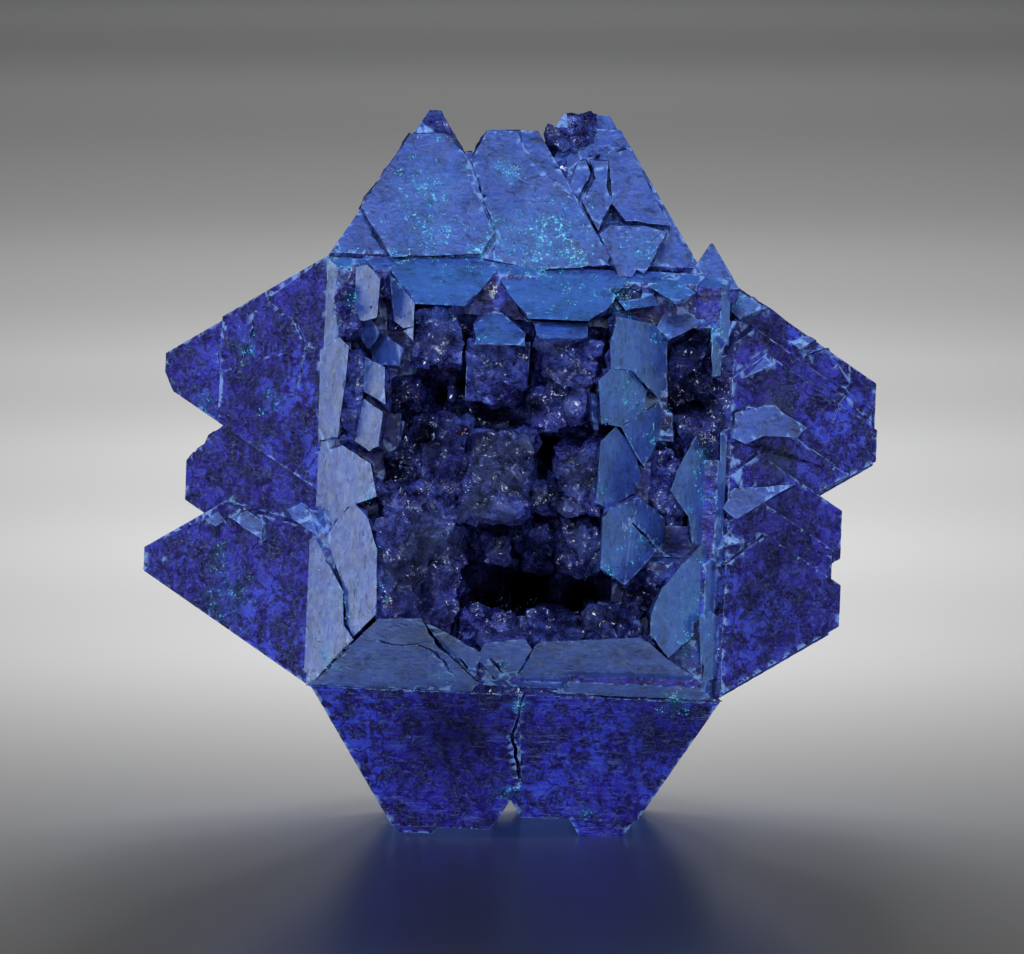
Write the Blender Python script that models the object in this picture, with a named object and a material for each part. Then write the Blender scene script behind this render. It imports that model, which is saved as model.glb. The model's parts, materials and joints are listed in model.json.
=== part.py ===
"""A star-shaped cluster of cumengeite crystals, modelled as one solid.

Six four-sided pyramids grow from the faces of a cube. Every pyramid is a bundle of
parallel sub-crystals, most of them cut short, and the one that faces the viewer is broken
open into a pit with a frame of sloping facets. All lengths below are in millimetres, in the
lattice of the crystal: x to the right, y away from the viewer and z up, from the middle of
the cube. The lattice is then rolled and leaned back, as the specimen stands.
"""

import math
import random

import bmesh
import bpy
from mathutils import Matrix, Vector

MM = 0.001
NAME = "cumengeite"

# Driving dimensions
TAPER = 0.615  # how far a pyramid face comes in for each millimetre along its axis
ROOT_TAPER = 0.35  # how far a crystal's hidden root comes in for each millimetre
ROOT_LENGTH = 5.0
CREST = 0.06  # width that is left where two faces would meet in an edge
CUBE = {"left": 8.0, "right": 8.6, "front": 8.4, "back": 8.4, "top": 8.7, "bottom": 8.9}
ROLL = math.radians(2.4)  # clockwise, as seen from the front
LEAN = math.radians(4.5)  # backwards
STAND_HEIGHT = 14.4  # from the feet to the middle of the cube
SHIFT_X = 0.27
SHIFT_Y = -0.92

# Face directions of the crystal, named by the arm and the side they belong to
SLOPE = math.atan(TAPER)
STEEP, SHALLOW = math.cos(SLOPE), math.sin(SLOPE)
TOP_ARM_FRONT = Vector((0, -STEEP, SHALLOW))
FRAME_LEFT = Vector((-STEEP, -SHALLOW, 0))
FRAME_RIGHT = Vector((STEEP, -SHALLOW, 0))
FRAME_TOP = Vector((0, -SHALLOW, STEEP))
FRAME_BOTTOM = Vector((0, -SHALLOW, -STEEP))
RIGHT_ARM_FRONT = Vector((SHALLOW, -STEEP, 0))
LEDGE = Vector((0, -0.86, 0.51))
FRAME = {"left": FRAME_LEFT, "right": FRAME_RIGHT, "top": FRAME_TOP, "bottom": FRAME_BOTTOM}

ARMS = {
    "left": (0, -1),
    "right": (0, 1),
    "front": (1, -1),
    "back": (1, 1),
    "bottom": (2, -1),
    "top": (2, 1),
}


def new_object(bm, name, collection):
    """Turns a bmesh in millimetres into an object of the collection, set in the lattice."""
    bmesh.ops.recalc_face_normals(bm, faces=bm.faces[:])
    bmesh.ops.scale(bm, vec=(MM, MM, MM), verts=bm.verts[:])
    mesh = bpy.data.meshes.new(name)
    bm.to_mesh(mesh)
    bm.free()
    obj = bpy.data.objects.new(name, mesh)
    collection.objects.link(obj)
    obj.parent = bpy.data.objects["lattice"]
    return obj


def slice_off(bm, normal, point):
    """Cuts away what lies beyond a plane and closes the cut."""
    geometry = bm.verts[:] + bm.edges[:] + bm.faces[:]
    cut = bmesh.ops.bisect_plane(
        bm, geom=geometry, plane_co=point, plane_no=normal, clear_outer=True
    )
    edges = [e for e in cut["geom_cut"] if isinstance(e, bmesh.types.BMEdge)]
    if edges:
        bmesh.ops.holes_fill(bm, edges=edges)


def crystal(collection, arm, first, second, tip, base=None, cuts=(), root=ROOT_LENGTH, wear=()):
    """A sub-crystal of an arm: a four-sided spire with a hidden root below its base.

    first and second are the ranges of its section at the base along the two axes that
    cross the arm, in the order x, y, z. tip is where the spire is cut short, measured from
    the middle of the cube. cuts are planes, each a direction and a point, that break it.
    wear chips the tip: each entry has the sideways slopes of a plane across the arm's axis,
    and how far below the tip that plane meets the axis.
    """
    axis, sign = ARMS[arm]
    across = [i for i in range(3) if i != axis]
    base = CUBE[arm] if base is None else base
    width = min(first[1] - first[0], second[1] - second[0])
    tip = min(tip, base + (width - CREST) / (2 * TAPER))
    bm = bmesh.new()
    bmesh.ops.create_cube(bm, size=2)
    levels = {-1: (base, 0.0), 1: (tip, TAPER * (tip - base))}
    for vert in bm.verts:
        height, inset = levels[round(vert.co[axis])]
        for i, span in zip(across, (first, second)):
            side = round(vert.co[i])
            vert.co[i] = span[1] - inset if side > 0 else span[0] + inset
        vert.co[axis] = sign * height
    foot = min(bm.faces, key=lambda f: sign * f.calc_center_median()[axis])
    grown = bmesh.ops.extrude_face_region(bm, geom=[foot])["geom"]
    middle = {i: (span[0] + span[1]) / 2 for i, span in zip(across, (first, second))}
    for vert in [v for v in grown if isinstance(v, bmesh.types.BMVert)]:
        vert.co[axis] -= sign * root
        for i in across:
            inward = math.copysign(ROOT_TAPER * root, middle[i] - vert.co[i])
            room = abs(middle[i] - vert.co[i]) * 0.7
            vert.co[i] += math.copysign(min(abs(inward), room), inward)
    bmesh.ops.delete(bm, geom=[foot], context="FACES_ONLY")
    for way, bite in wear:
        end = Vector([sign if i == axis else way[across.index(i)] for i in range(3)]).normalized()
        centre = Vector([sign * (tip - bite) if i == axis else middle[i] for i in range(3)])
        slice_off(bm, end, centre)
    for normal, point in cuts:
        slice_off(bm, Vector(normal), Vector(point))
    return new_object(bm, f"{arm} crystal", collection)


def facet(collection, normal, outline, through, depth=2.0, flare=0.12):
    """A block whose front is one facet, given by its outline as x, z points.

    The facet's plane has the normal and passes the point through. The block runs back from
    it along y and widens by flare, a share of its size, so that its sides show a little.
    """
    bm = bmesh.new()
    made = bmesh.ops.create_circle(bm, cap_ends=True, radius=1, segments=len(outline))
    for vert, (x, z) in zip(made["verts"], outline):
        fall = normal.x * (x - through[0]) + normal.z * (z - through[2])
        vert.co = (x, through[1] - fall / normal.y, z)
    grown = bmesh.ops.extrude_face_region(bm, geom=bm.faces[:])["geom"]
    moved = [v for v in grown if isinstance(v, bmesh.types.BMVert)]
    middle = sum((v.co for v in moved), Vector()) / len(moved)
    for vert in moved:
        vert.co.x += flare * (vert.co.x - middle.x)
        vert.co.z += flare * (vert.co.z - middle.z)
        vert.co.y += depth
    return new_object(bm, "facet", collection)


def rim(collection, side, meets, outline, depth=5.0):
    """A facet of the frame. meets is where its plane reaches the front of the cube."""
    front = -CUBE["front"]
    through = (meets, front, 0) if side in ("left", "right") else (0, front, meets)
    return facet(collection, FRAME[side], outline, through, depth, flare=0.07)


def chunk(collection, across, up, front, rng, back=7.2, lean=5, bite=0.5):
    """A broken block of the pit, from back to front above the middle of the cube.

    across and up are its ranges along x and z. Its front slopes, its sides narrow towards
    the viewer, its corners are chipped by up to bite, and it leans a few degrees.
    """
    size = Vector((across[1] - across[0], front - back, up[1] - up[0]))
    bm = bmesh.new()
    bmesh.ops.create_cube(bm, size=1)
    bmesh.ops.scale(bm, vec=size, verts=bm.verts[:])
    slope = Vector((rng.uniform(-0.3, 0.3), -1, rng.uniform(-0.3, 0.3))).normalized()
    rise = abs(slope.x) * size.x + abs(slope.z) * size.z
    slice_off(bm, slope, Vector((0, -size.y / 2 + rise * bite, 0)))
    for side in (Vector((1, 0, 0)), Vector((-1, 0, 0)), Vector((0, 0, 1)), Vector((0, 0, -1))):
        across_side = Vector((side.z, 0, side.x)) * rng.uniform(-0.14, 0.14)
        way = (side + across_side + Vector((0, -rng.uniform(0.0, 0.3), 0))).normalized()
        edge = Vector((side.x * size.x, -size.y, side.z * size.z)) / 2
        slice_off(bm, way, edge - way * rng.uniform(0.1, 0.5) * bite)
    for left in (-1, 1):
        for low in (-1, 1):
            way = (left * rng.uniform(0.3, 1), -rng.uniform(0.2, 1.2), low * rng.uniform(0.3, 1))
            way = Vector(way).normalized()
            corner = Vector((left * size.x, -size.y, low * size.z)) / 2
            slice_off(bm, way, corner - way * rng.uniform(0.6, 1.6) * bite)
    for axis in "XYZ":
        turn = Matrix.Rotation(math.radians(rng.uniform(-lean, lean)), 3, axis)
        bmesh.ops.rotate(bm, cent=(0, 0, 0), matrix=turn, verts=bm.verts[:])
    middle = Vector((sum(across), -front - back, sum(up))) / 2
    bmesh.ops.translate(bm, vec=middle, verts=bm.verts[:])
    return new_object(bm, "chunk", collection)


def core(collection):
    """The middle of the cube, which every arm's roots reach into."""
    bm = bmesh.new()
    bmesh.ops.create_cube(bm, size=1)
    bmesh.ops.scale(bm, vec=(15.0, 15.4, 16.4), verts=bm.verts[:])
    bmesh.ops.translate(bm, vec=(0.1, 0.1, -0.2), verts=bm.verts[:])
    return new_object(bm, NAME, collection)


def top_arm(grown, late):
    """Two large sub-crystals with a notch between them, and smaller ones behind."""
    broken_tip = ((0.25, -0.62, 0.74), (-4.4, -5.6, 13.7))
    crystal(grown, "top", (-7.95, 0.0), (-8.4, 2.6), 14.8, cuts=[broken_tip])
    crystal(grown, "top", (-4.95, 3.6), (-8.15, 4.0), 14.1)
    crystal(grown, "top", (-1.7, 7.1), (-7.75, 7.9), 14.3, wear=[((0.02, 0.16), 0.1)])
    crystal(grown, "top", (-2.5, 7.0), (-7.0, 3.0), 14.9, wear=[((-0.1, 0.3), 0.1)])
    crystal(
        grown, "top", (-7.8, 1.5), (-2.0, 8.6), 13.3,
        wear=[((0.2, 0.25), 0.2), ((-0.5, 0.1), 0.1)]
    )
    crystal(grown, "top", (-2.0, 5.5), (0.5, 8.3), 12.9, wear=[((0.1, 0.4), 0.2)])
    left_face = [(-4.95, 13.7), (-3.5, 13.8), (-2.6, 12.9), (-2.7, 12.4), (-1.3, 9.8), (-1.8, 8.9)]
    left_face += [(-5.5, 8.6), (-6.8, 10.6)]
    facet(late, TOP_ARM_FRONT, left_face, (0, -8.8, CUBE["top"]), depth=1.6, flare=0.03)
    middle_face = [(-1.8, 14.0), (-0.5, 14.05), (-0.3, 13.3), (0.3, 12.5), (1.4, 11.7), (2.0, 11.2)]
    middle_face += [
        (2.8, 9.9), (3.35, 9.1), (3.5, 8.6), (0.9, 8.4), (0.45, 8.1), (0.1, 8.4), (-1.6, 8.7),
    ]
    middle_face += [(-1.1, 9.45), (-1.75, 10.9), (-2.4, 12.8)]
    facet(late, TOP_ARM_FRONT, middle_face, (0, -8.5, CUBE["top"]), depth=1.6, flare=0.02)
    right_face = [(3.2, 13.3), (4.05, 13.5), (5.8, 10.4), (4.85, 10.45), (4.0, 10.5), (3.4, 11.2)]
    facet(late, TOP_ARM_FRONT, right_face, (0, -8.25, CUBE["top"]), depth=1.6, flare=0.03)
    lower_face = [
        (3.35, 10.3), (4.85, 10.3), (5.7, 10.1), (4.8, 8.3), (4.5, 8.5), (4.3, 8.2), (3.75, 8.2),
        (2.95, 9.9),
    ]
    facet(late, TOP_ARM_FRONT, lower_face, (0, -8.6, CUBE["top"]), depth=1.6, flare=0.03)
    lozenge = [(1.6, 11.8), (2.0, 11.4), (2.55, 12.4), (2.3, 13.0), (1.95, 12.9)]
    facet(late, TOP_ARM_FRONT, lozenge, (0, -8.2, CUBE["top"]), depth=1.4)
    kite = [
        (2.2, 11.2), (2.9, 10.05), (3.4, 11.3), (3.15, 11.9), (3.2, 12.95), (2.45, 12.95),
        (2.7, 12.2),
    ]
    facet(late, TOP_ARM_FRONT, kite, (0, -8.35, CUBE["top"]), depth=1.4)
    rng = random.Random(11)
    chunk(late, (0.6, 1.6), (12.9, 14.3), 5.35, rng, back=2.0)
    chunk(late, (1.5, 2.7), (13.2, 14.9), 5.2, rng, back=2.0)
    chunk(late, (0.4, 1.7), (12.1, 12.8), 6.0, rng, back=3.0)


def left_arm(grown, late):
    """Three large sub-crystals, the lowest one longest, and the half behind them."""
    crystal(grown, "left", (-8.3, 5.0), (-1.0, 8.6), 12.3, wear=[((0.1, 0.05), 0.0)])
    crystal(
        grown, "left", (-8.1, 4.0), (-1.0, 8.45), 14.6,
        wear=[((0.22, 0.1), 0.1), ((0.1, -0.5), 0.15)]
    )
    worn = ((-0.7, 0, 0.7), (-13.4, 0, 0.2))
    crystal(grown, "left", (-8.05, 8.0), (-5.0, 4.6), 13.55, cuts=[worn])
    broken_end = ((-0.775, 0, 0.633), (-15.15, 0, -3.6))
    shoulder = ((0, -0.35, 0.94), (-10, -7.2, -2.1))
    crystal(grown, "left", (-8.5, 4.0), (-8.95, 0.8), 15.15, cuts=[broken_end, shoulder])
    crystal(
        grown, "left", (-7.6, 7.0), (-8.7, 0.2), 14.5, cuts=[broken_end],
        wear=[((0.3, -0.1), 0.2)]
    )
    crystal(grown, "left", (-1.0, 8.5), (0.0, 8.2), 13.2, wear=[((0.3, -0.2), 0.3)])
    crystal(grown, "left", (0.5, 8.2), (-8.5, 1.0), 12.6, wear=[((-0.2, 0.3), 0.3)])
    ledges = [
        ([(-12.6, -2.35), (-12.1, -2.0), (-11.6, -2.2), (-12.2, -2.6)], -5.95),
        ([(-11.6, -2.2), (-10.9, -1.9), (-10.25, -2.3), (-10.25, -3.1)], -6.9),
        ([(-9.3, -1.8), (-8.7, -1.5), (-8.0, -2.1), (-8.0, -2.75), (-9.1, -2.2)], -8.0),
    ]
    for outline, front in ledges:
        x, z = outline[1]
        facet(late, LEDGE, outline, (x, front, z), depth=1.2)


def right_arm(grown, late):
    """Stepped levels, each further forward than the one above, with sloping treads."""
    levels = [
        # front at the base, range along z, tip, top of the tread
        (-7.0, (-2.7, 8.05), 14.6, None),
        (-7.3, (-2.7, 6.9), 14.45, 6.6),
        (-7.5, (-2.6, 6.2), 14.7, 5.2),
        (-8.0, (-2.5, 3.6), 14.4, 3.0),
        (-8.2, (-5.8, 2.0), 13.35, 1.2),
        (-8.45, (-8.7, 0.2), 13.0, -0.7),
        (-8.6, (-8.6, -1.0), 13.4, -2.4),
    ]
    for front, span, tip, tread in levels:
        cuts = [] if tread is None else [((-0.12, -0.70, 0.70), (8.6, front, tread - 0.9))]
        crystal(grown, "right", (front, 5.0), span, tip, cuts=cuts, wear=[((0.14, 0.03), 0.05)])
    crystal(grown, "right", (-5.0, 8.2), (-7.9, 1.5), 13.1, wear=[((0.25, 0.2), 0.1)])
    crystal(grown, "right", (-4.5, 7.9), (-1.0, 7.9), 14.2, wear=[((0.3, -0.1), 0.1)])
    crystal(grown, "right", (1.0, 8.3), (-3.5, 3.5), 12.5, wear=[((-0.3, 0.2), 0.2)])
    wide_ledge = [(8.7, 2.9), (9.85, 3.2), (10.35, 3.2), (11.7, 2.4), (11.3, 2.0), (9.9, 2.0)]
    wide_ledge += [(9.25, 1.65), (8.7, 1.85)]
    ledges = [
        (wide_ledge, -7.35),
        ([(8.5, 4.65), (9.9, 5.2), (10.3, 4.9), (9.1, 4.3)], -6.7),
        ([(10.9, 5.9), (11.6, 6.2), (12.0, 6.0), (11.3, 5.6)], -5.4),
        ([(11.3, 5.6), (12.4, 5.7), (11.5, 5.3)], -5.2),
        ([(8.4, -1.0), (8.8, -0.2), (11.3, 0.1), (8.95, -1.4)], -8.05),
        ([(8.1, -2.5), (8.4, -2.1), (9.3, -2.3), (8.2, -2.7)], -8.4),
    ]
    for outline, front in ledges:
        x, z = outline[1]
        facet(late, LEDGE, outline, (x, front, z), depth=1.2, flare=0.03)


def bottom_arm(grown, late):
    """Two halves that meet along a crack, with a few tips that serve as feet."""
    seam = ((1, 0, 0.06), (0.6, 0, -11))
    crystal(grown, "bottom", (-8.0, 3.0), (-8.55, 5.0), 14.55, cuts=[seam])
    crystal(grown, "bottom", (-7.9, 0.8), (-8.35, -1.0), 15.2)
    crystal(grown, "bottom", (-2.4, 8.6), (-8.35, 8.3), 14.0)
    crystal(grown, "bottom", (-0.4, 8.5), (-8.15, 4.0), 14.7)
    crystal(grown, "bottom", (-7.7, 2.5), (-3.0, 8.4), 14.2)
    crystal(grown, "bottom", (-6.9, 7.2), (-1.0, 8.1), 13.4)


def back_arm(grown, late):
    """The side away from the viewer, a less damaged bundle of sub-crystals."""
    crystal(grown, "back", (-7.9, 8.5), (-8.7, 8.3), 11.6)
    crystal(
        grown, "back", (-7.8, 2.2), (-3.0, 8.5), 15.5,
        wear=[((0.3, 0.15), 0.3), ((-0.6, 0.5), 0.1)]
    )
    crystal(grown, "back", (-3.2, 8.4), (-8.6, 3.1), 14.8, wear=[((-0.2, -0.35), 0.3)])
    crystal(
        grown, "back", (-8.0, 1.2), (-8.8, 0.8), 13.6,
        wear=[((-0.3, 0.3), 0.3), ((0.1, -0.7), 0.2)]
    )
    crystal(grown, "back", (-0.2, 8.2), (0.4, 8.1), 14.0, wear=[((0.4, 0.2), 0.2)])
    crystal(grown, "back", (1.0, 5.5), (-1.5, 3.0), 13.0)


def frame(grown, late):
    """The rim around the pit: a low plateau with sloping facets on all four sides."""
    plateau = [
        # range along x, range along z, height
        ((-7.9, 8.0), (-8.6, 8.2), 8.8),
        ((-8.05, -4.0), (3.0, 8.5), 9.1),
        ((-8.0, -4.5), (-3.4, 4.0), 8.95),
        ((-8.2, -3.0), (-8.9, -2.2), 9.25),
        ((-6.6, 1.0), (4.5, 8.6), 9.3),
        ((-1.0, 7.4), (5.0, 8.45), 9.15),
        ((4.0, 8.35), (5.6, 8.3), 9.0),
        ((3.0, 8.1), (1.4, 6.4), 9.1),
        ((3.0, 8.45), (-3.4, 2.2), 8.95),
        ((2.0, 8.3), (-8.8, -2.8), 9.2),
    ]
    for across, up, height in plateau:
        crystal(grown, "front", across, up, height)
    left = [
        (-8.3, [
            (-8.3, -3.0), (-8.1, -2.8), (-7.4, -4.0), (-6.8, -5.0), (-6.7, -6.3), (-6.3, -6.9),
            (-7.9, -8.7), (-8.3, -8.3),
        ]),
        (-8.15, [
            (-7.6, -2.8), (-7.1, -2.0), (-6.5, -1.4), (-5.9, -2.0), (-5.5, -3.2), (-5.4, -5.8),
            (-6.3, -6.8), (-6.6, -6.3), (-6.8, -4.9),
        ]),
        (-8.0, [
            (-8.1, 0.6), (-7.1, 0.9), (-5.9, 0.2), (-5.6, -1.1), (-6.8, -1.6), (-7.3, -2.4),
            (-8.1, -1.6),
        ]),
        (-8.1, [(-8.2, 4.7), (-7.4, 5.3), (-7.0, 4.9), (-7.1, 3.1), (-7.3, 1.2), (-8.1, 1.0)]),
        (-7.5, [(-6.3, 2.8), (-5.5, 2.3), (-5.6, 0.9), (-6.0, 0.7), (-6.6, 1.1)]),
        (-7.45, [(-6.3, 4.5), (-5.5, 4.1), (-5.4, 2.6), (-6.3, 3.1)]),
        (-6.6, [(-6.3, 5.0), (-5.6, 5.5), (-4.8, 4.9), (-4.9, 4.2), (-5.8, 4.2)]),
        (-7.1, [(-6.9, 5.7), (-6.3, 6.2), (-5.7, 5.5), (-6.2, 4.8)]),
        (-7.65, [(-6.9, 8.1), (-6.4, 8.2), (-5.8, 7.7), (-5.9, 6.1), (-6.6, 5.9), (-6.8, 6.5)]),
        (-6.9, [(-5.5, 8.0), (-4.4, 6.7), (-4.4, 5.8), (-4.8, 5.7), (-5.2, 6.0)]),
        (-6.7, [(-4.8, 5.6), (-4.4, 5.8), (-4.4, 5.2)]),
    ]
    right = [
        (8.15, [
            (6.0, -4.3), (7.6, -2.4), (8.1, -2.7), (8.1, -5.0), (7.4, -5.7), (7.4, -6.2),
            (6.4, -7.1), (5.6, -6.2), (5.6, -5.3),
        ]),
        (8.5, [(7.6, -5.5), (8.0, -5.2), (8.4, -5.4), (8.5, -7.9), (7.8, -8.1)]),
        (6.4, [
            (3.7, 6.5), (5.3, 6.3), (5.8, 5.8), (5.9, 3.8), (5.6, 3.3), (4.4, 4.4), (3.6, 4.4),
            (3.5, 5.4),
        ]),
        (6.2, [(3.1, 3.9), (3.6, 4.4), (4.4, 4.4), (5.1, 3.6), (5.0, 2.8), (4.1, 2.1), (3.3, 2.2)]),
        (6.15, [(4.1, 2.1), (5.6, 3.2), (5.8, 2.8), (5.7, 1.8), (5.1, 0.5), (4.7, 1.1)]),
        (6.0, [
            (3.9, 2.1), (4.7, 1.3), (5.0, 0.1), (4.7, -0.6), (3.7, -1.2), (3.2, -1.0),
            (3.3, 1.5),
        ]),
        (6.45, [
            (3.7, -1.2), (4.9, -0.7), (6.0, -1.5), (6.2, -2.4), (4.5, -4.3), (3.5, -3.6),
            (3.5, -1.6),
        ]),
        (7.9, [
            (7.2, 1.9), (7.8, 0.2), (7.8, -2.3), (7.2, -2.6), (7.0, -1.4), (6.2, -0.4),
            (6.4, 0.4),
        ]),
    ]
    top = [
        (8.75, [
            (-5.5, 8.1), (-4.8, 8.6), (-2.0, 8.8), (-1.1, 8.3), (-1.5, 7.7), (-2.4, 6.7),
            (-4.4, 6.7),
        ]),
        (8.45, [
            (-1.1, 8.3), (1.2, 8.4), (3.0, 8.4), (4.1, 8.0), (3.4, 6.8), (2.6, 6.3), (0.2, 6.3),
            (-1.0, 7.7),
        ]),
        (8.2, [(3.3, 7.9), (5.1, 8.2), (5.4, 7.1), (4.1, 6.8)]),
    ]
    bottom = [
        (-8.95, [
            (-7.9, -8.8), (-6.2, -6.9), (-5.3, -6.0), (-3.6, -5.9), (-2.9, -7.0), (-1.2, -8.5),
            (-1.5, -8.9), (-4.2, -9.1),
        ]),
        (-8.75, [(-3.5, -6.0), (-2.3, -6.6), (-1.2, -7.2), (-1.3, -8.4), (-2.6, -7.2)]),
        (-8.6, [
            (-1.1, -7.0), (-1.0, -6.8), (0.6, -6.6), (0.9, -7.0), (0.3, -8.1), (-0.3, -8.5),
            (-1.3, -7.5),
        ]),
        (-8.5, [
            (1.1, -6.7), (3.3, -6.5), (5.3, -6.3), (6.4, -7.2), (7.5, -7.9), (7.1, -8.5),
            (0.8, -8.6), (0.4, -8.1),
        ]),
    ]
    sides = {"left": left, "right": right, "top": top, "bottom": bottom}
    for side, facets in sides.items():
        for meets, outline in facets:
            rim(late, side, meets, outline)


def corner_crystals(grown, late):
    """Small crystals and facets on the broken upper right corner of the cube."""
    crystal(grown, "top", (6.35, 8.7), (-8.5, -5.6), 9.8, base=7.9, root=2.5)
    facet(
        late, FRAME_TOP, [(5.0, 7.85), (5.85, 8.35), (6.9, 7.65), (6.1, 7.15)], (5.9, -9.7, 7.8),
        depth=3
    )
    notched = [(5.4, 6.2), (5.65, 6.7), (6.75, 6.75), (7.2, 6.5), (6.8, 6.2), (5.85, 5.65)]
    facet(late, LEDGE, notched, (6.2, -9.65, 6.3), depth=3)
    facet(late, LEDGE, [(7.8, 7.5), (8.6, 7.9), (9.9, 7.2), (8.8, 6.7)], (8.8, -7.3, 7.3))
    facet(late, RIGHT_ARM_FRONT, [(7.8, 6.6), (8.65, 6.6), (8.1, 5.3), (7.8, 5.5)], (8.2, -8.4, 6))


def terraces(grown, late):
    """Low parallel growths on the back of every arm, which step its broad faces."""
    rng = random.Random(21)
    reach = {"left": (-7.5, 7.0), "right": (-7.4, 6.6), "top": (-6.6, 5.6), "bottom": (-7.0, 7.2)}
    for arm, (low, high) in reach.items():
        for step in range(5):
            start = rng.uniform(low, high - 3.5)
            span = (start, min(start + rng.uniform(3.0, 6.0), high))
            outward = rng.uniform(0.1, 0.35)
            deep = (rng.uniform(-3.0, 3.0), CUBE["back"] + outward)
            tip = CUBE[arm] + rng.uniform(1.8, 4.2)
            ranges = (deep, span) if arm in ("left", "right") else (span, deep)
            wear = [((rng.uniform(-0.3, 0.3), rng.uniform(-0.3, 0.3)), 0.2)]
            crystal(grown, arm, *ranges, tip, wear=wear)
    for step in range(7):
        x, z = rng.uniform(-7.6, 4.0), rng.uniform(-8.4, 4.0)
        ranges = (x, x + rng.uniform(2.5, 4.5)), (z, z + rng.uniform(2.5, 4.5))
        crystal(grown, "back", *ranges, rng.uniform(11.5, 13.2))


def pit_floor(grown, late):
    """Blocks and lumps on the floor of the pit."""
    rng = random.Random(7)
    rim(late, "top", 7.6, [(-2.0, 6.0), (-1.1, 6.7), (0.1, 5.7), (0.1, 5.2), (-1.9, 5.2)])
    rim(late, "top", 8.0, [(0.4, 6.2), (2.6, 6.2), (2.6, 5.6), (0.6, 5.5)])
    rim(late, "right", 5.6, [(2.8, 3.4), (3.1, 3.3), (3.2, 1.9), (3.0, 2.0)])
    blocks = [
        # range along x, range along z, front
        ((-4.5, -2.4), (4.2, 6.7), 11.5),
        ((-2.2, 0.3), (2.9, 5.4), 12.1),
        ((0.5, 2.9), (3.4, 5.7), 12.2),
        ((0.5, 3.0), (1.8, 3.7), 11.8),
        ((-2.1, 0.8), (-1.9, 1.9), 12.0),
        ((-3.9, -2.0), (-2.0, 2.4), 10.6),
        ((1.5, 3.5), (0.0, 1.6), 12.0),
        ((1.4, 3.6), (-1.4, 0.2), 11.8),
        ((0.4, 1.8), (-1.6, -0.3), 11.7),
        ((0.3, 1.6), (-3.8, -1.6), 10.6),
        ((1.7, 3.4), (-3.9, -1.6), 11.2),
        ((-1.4, -0.1), (-3.6, -2.4), 10.0),
        ((-5.2, -3.8), (2.2, 3.9), 9.8),
        ((-5.4, -4.0), (-0.6, 1.2), 10.2),
        ((-4.6, -3.2), (0.6, 2.2), 10.2),
        ((-5.6, -3.6), (-2.4, -0.4), 11.0),
        ((0.8, 3.2), (-6.9, -5.5), 10.4),
        ((3.0, 5.4), (-6.9, -5.0), 10.8),
        ((-2.3, 0.3), (-7.2, -5.6), 10.2),
        ((4.4, 5.9), (-5.4, -3.4), 10.0),
        ((-7.6, -6.4), (5.0, 7.6), 9.8),
        ((-7.3, -6.2), (0.6, 4.8), 9.9),
        ((-5.6, -4.4), (5.6, 7.6), 10.4),
        ((3.2, 4.6), (6.4, 7.8), 10.3),
        ((5.8, 7.6), (2.6, 5.6), 9.0),
        ((6.4, 8.2), (0.4, 2.9), 9.3),
        ((5.4, 6.8), (-3.0, 1.4), 9.4),
    ]
    for across, up, front in blocks:
        chunk(late, across, up, front, rng)
    upper_slope = [(-5.5, -2.0), (-3.6, -1.8), (-2.0, -2.4), (-1.9, -3.6), (-5.5, -4.3)]
    lower_slope = [(-5.5, -4.2), (-1.9, -3.5), (-2.5, -6.4), (-5.4, -6.1)]
    facet(late, Vector((0.5, -0.85, -0.1)), upper_slope, (-5.4, -12.2, -3.0), depth=5)
    facet(late, Vector((0.5, -0.8, 0.33)), lower_slope, (-5.4, -12.3, -4.3), depth=5)


def breaks(cutters):
    """What is broken away before the blocks stand in it: the pit and the zone beside it."""
    rng = random.Random(3)
    hollows = [
        # range along x, range along z, floor
        ((-4.9, 3.8), (-5.6, 6.2), 8.7),
        ((-2.2, 3.9), (-5.7, -3.2), 6.6),
        ((-4.8, -2.9), (1.9, 3.6), 7.2),
        ((0.7, 1.6), (0.0, 2.1), 7.4),
        ((5.9, 7.7), (2.9, 6.3), 8.0),
        ((6.2, 8.1), (0.9, 4.3), 7.6),
        ((5.5, 7.4), (-1.7, 1.7), 7.9),
        ((-7.0, -6.1), (2.9, 5.3), 8.3),
    ]
    for across, up, floor in hollows:
        chunk(cutters, across, up, 14, rng, back=floor, lean=4, bite=0)


def finish_material():
    """Deep blue crystal with a strong gloss."""
    material = bpy.data.materials.new("blue crystal")
    material.use_nodes = True
    shader = material.node_tree.nodes["Principled BSDF"]
    shader.inputs["Base Color"].default_value = (0.02, 0.03, 0.25, 1)
    shader.inputs["Roughness"].default_value = 0.2
    shader.inputs["Metallic"].default_value = 0.0
    return material


def new_collection(name):
    """A collection linked to the scene."""
    collection = bpy.data.collections.new(name)
    bpy.context.scene.collection.children.link(collection)
    return collection


def combine(body, tools, operation, solver):
    """Joins a collection of tool shapes to the body, or cuts them from it.

    The exact solver leaves gaps where blocks cross in the pit, so that those steps use the
    manifold one.
    """
    for tool in tools.objects:
        tool.hide_render = True
        tool.display_type = "WIRE"
    change = body.modifiers.new(tools.name, "BOOLEAN")
    change.operation = operation
    change.operand_type = "COLLECTION"
    change.collection = tools
    change.solver = solver


def close_pockets(body):
    """Keeps the outer surface alone, so that small gaps sealed between blocks are solid."""
    bpy.context.view_layer.update()
    bm = bmesh.new()
    bm.from_object(body, bpy.context.evaluated_depsgraph_get())
    waiting = set(bm.faces)
    shells = []
    while waiting:
        shell = [waiting.pop()]
        for face in shell:
            near = {other for edge in face.edges for other in edge.link_faces} & waiting
            waiting -= near
            shell.extend(near)
        shells.append(shell)
    shells.sort(key=len)
    for shell in shells[:-1]:
        bmesh.ops.delete(bm, geom=shell, context="FACES")
    bm.to_mesh(body.data)
    bm.free()
    body.modifiers.clear()


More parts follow.
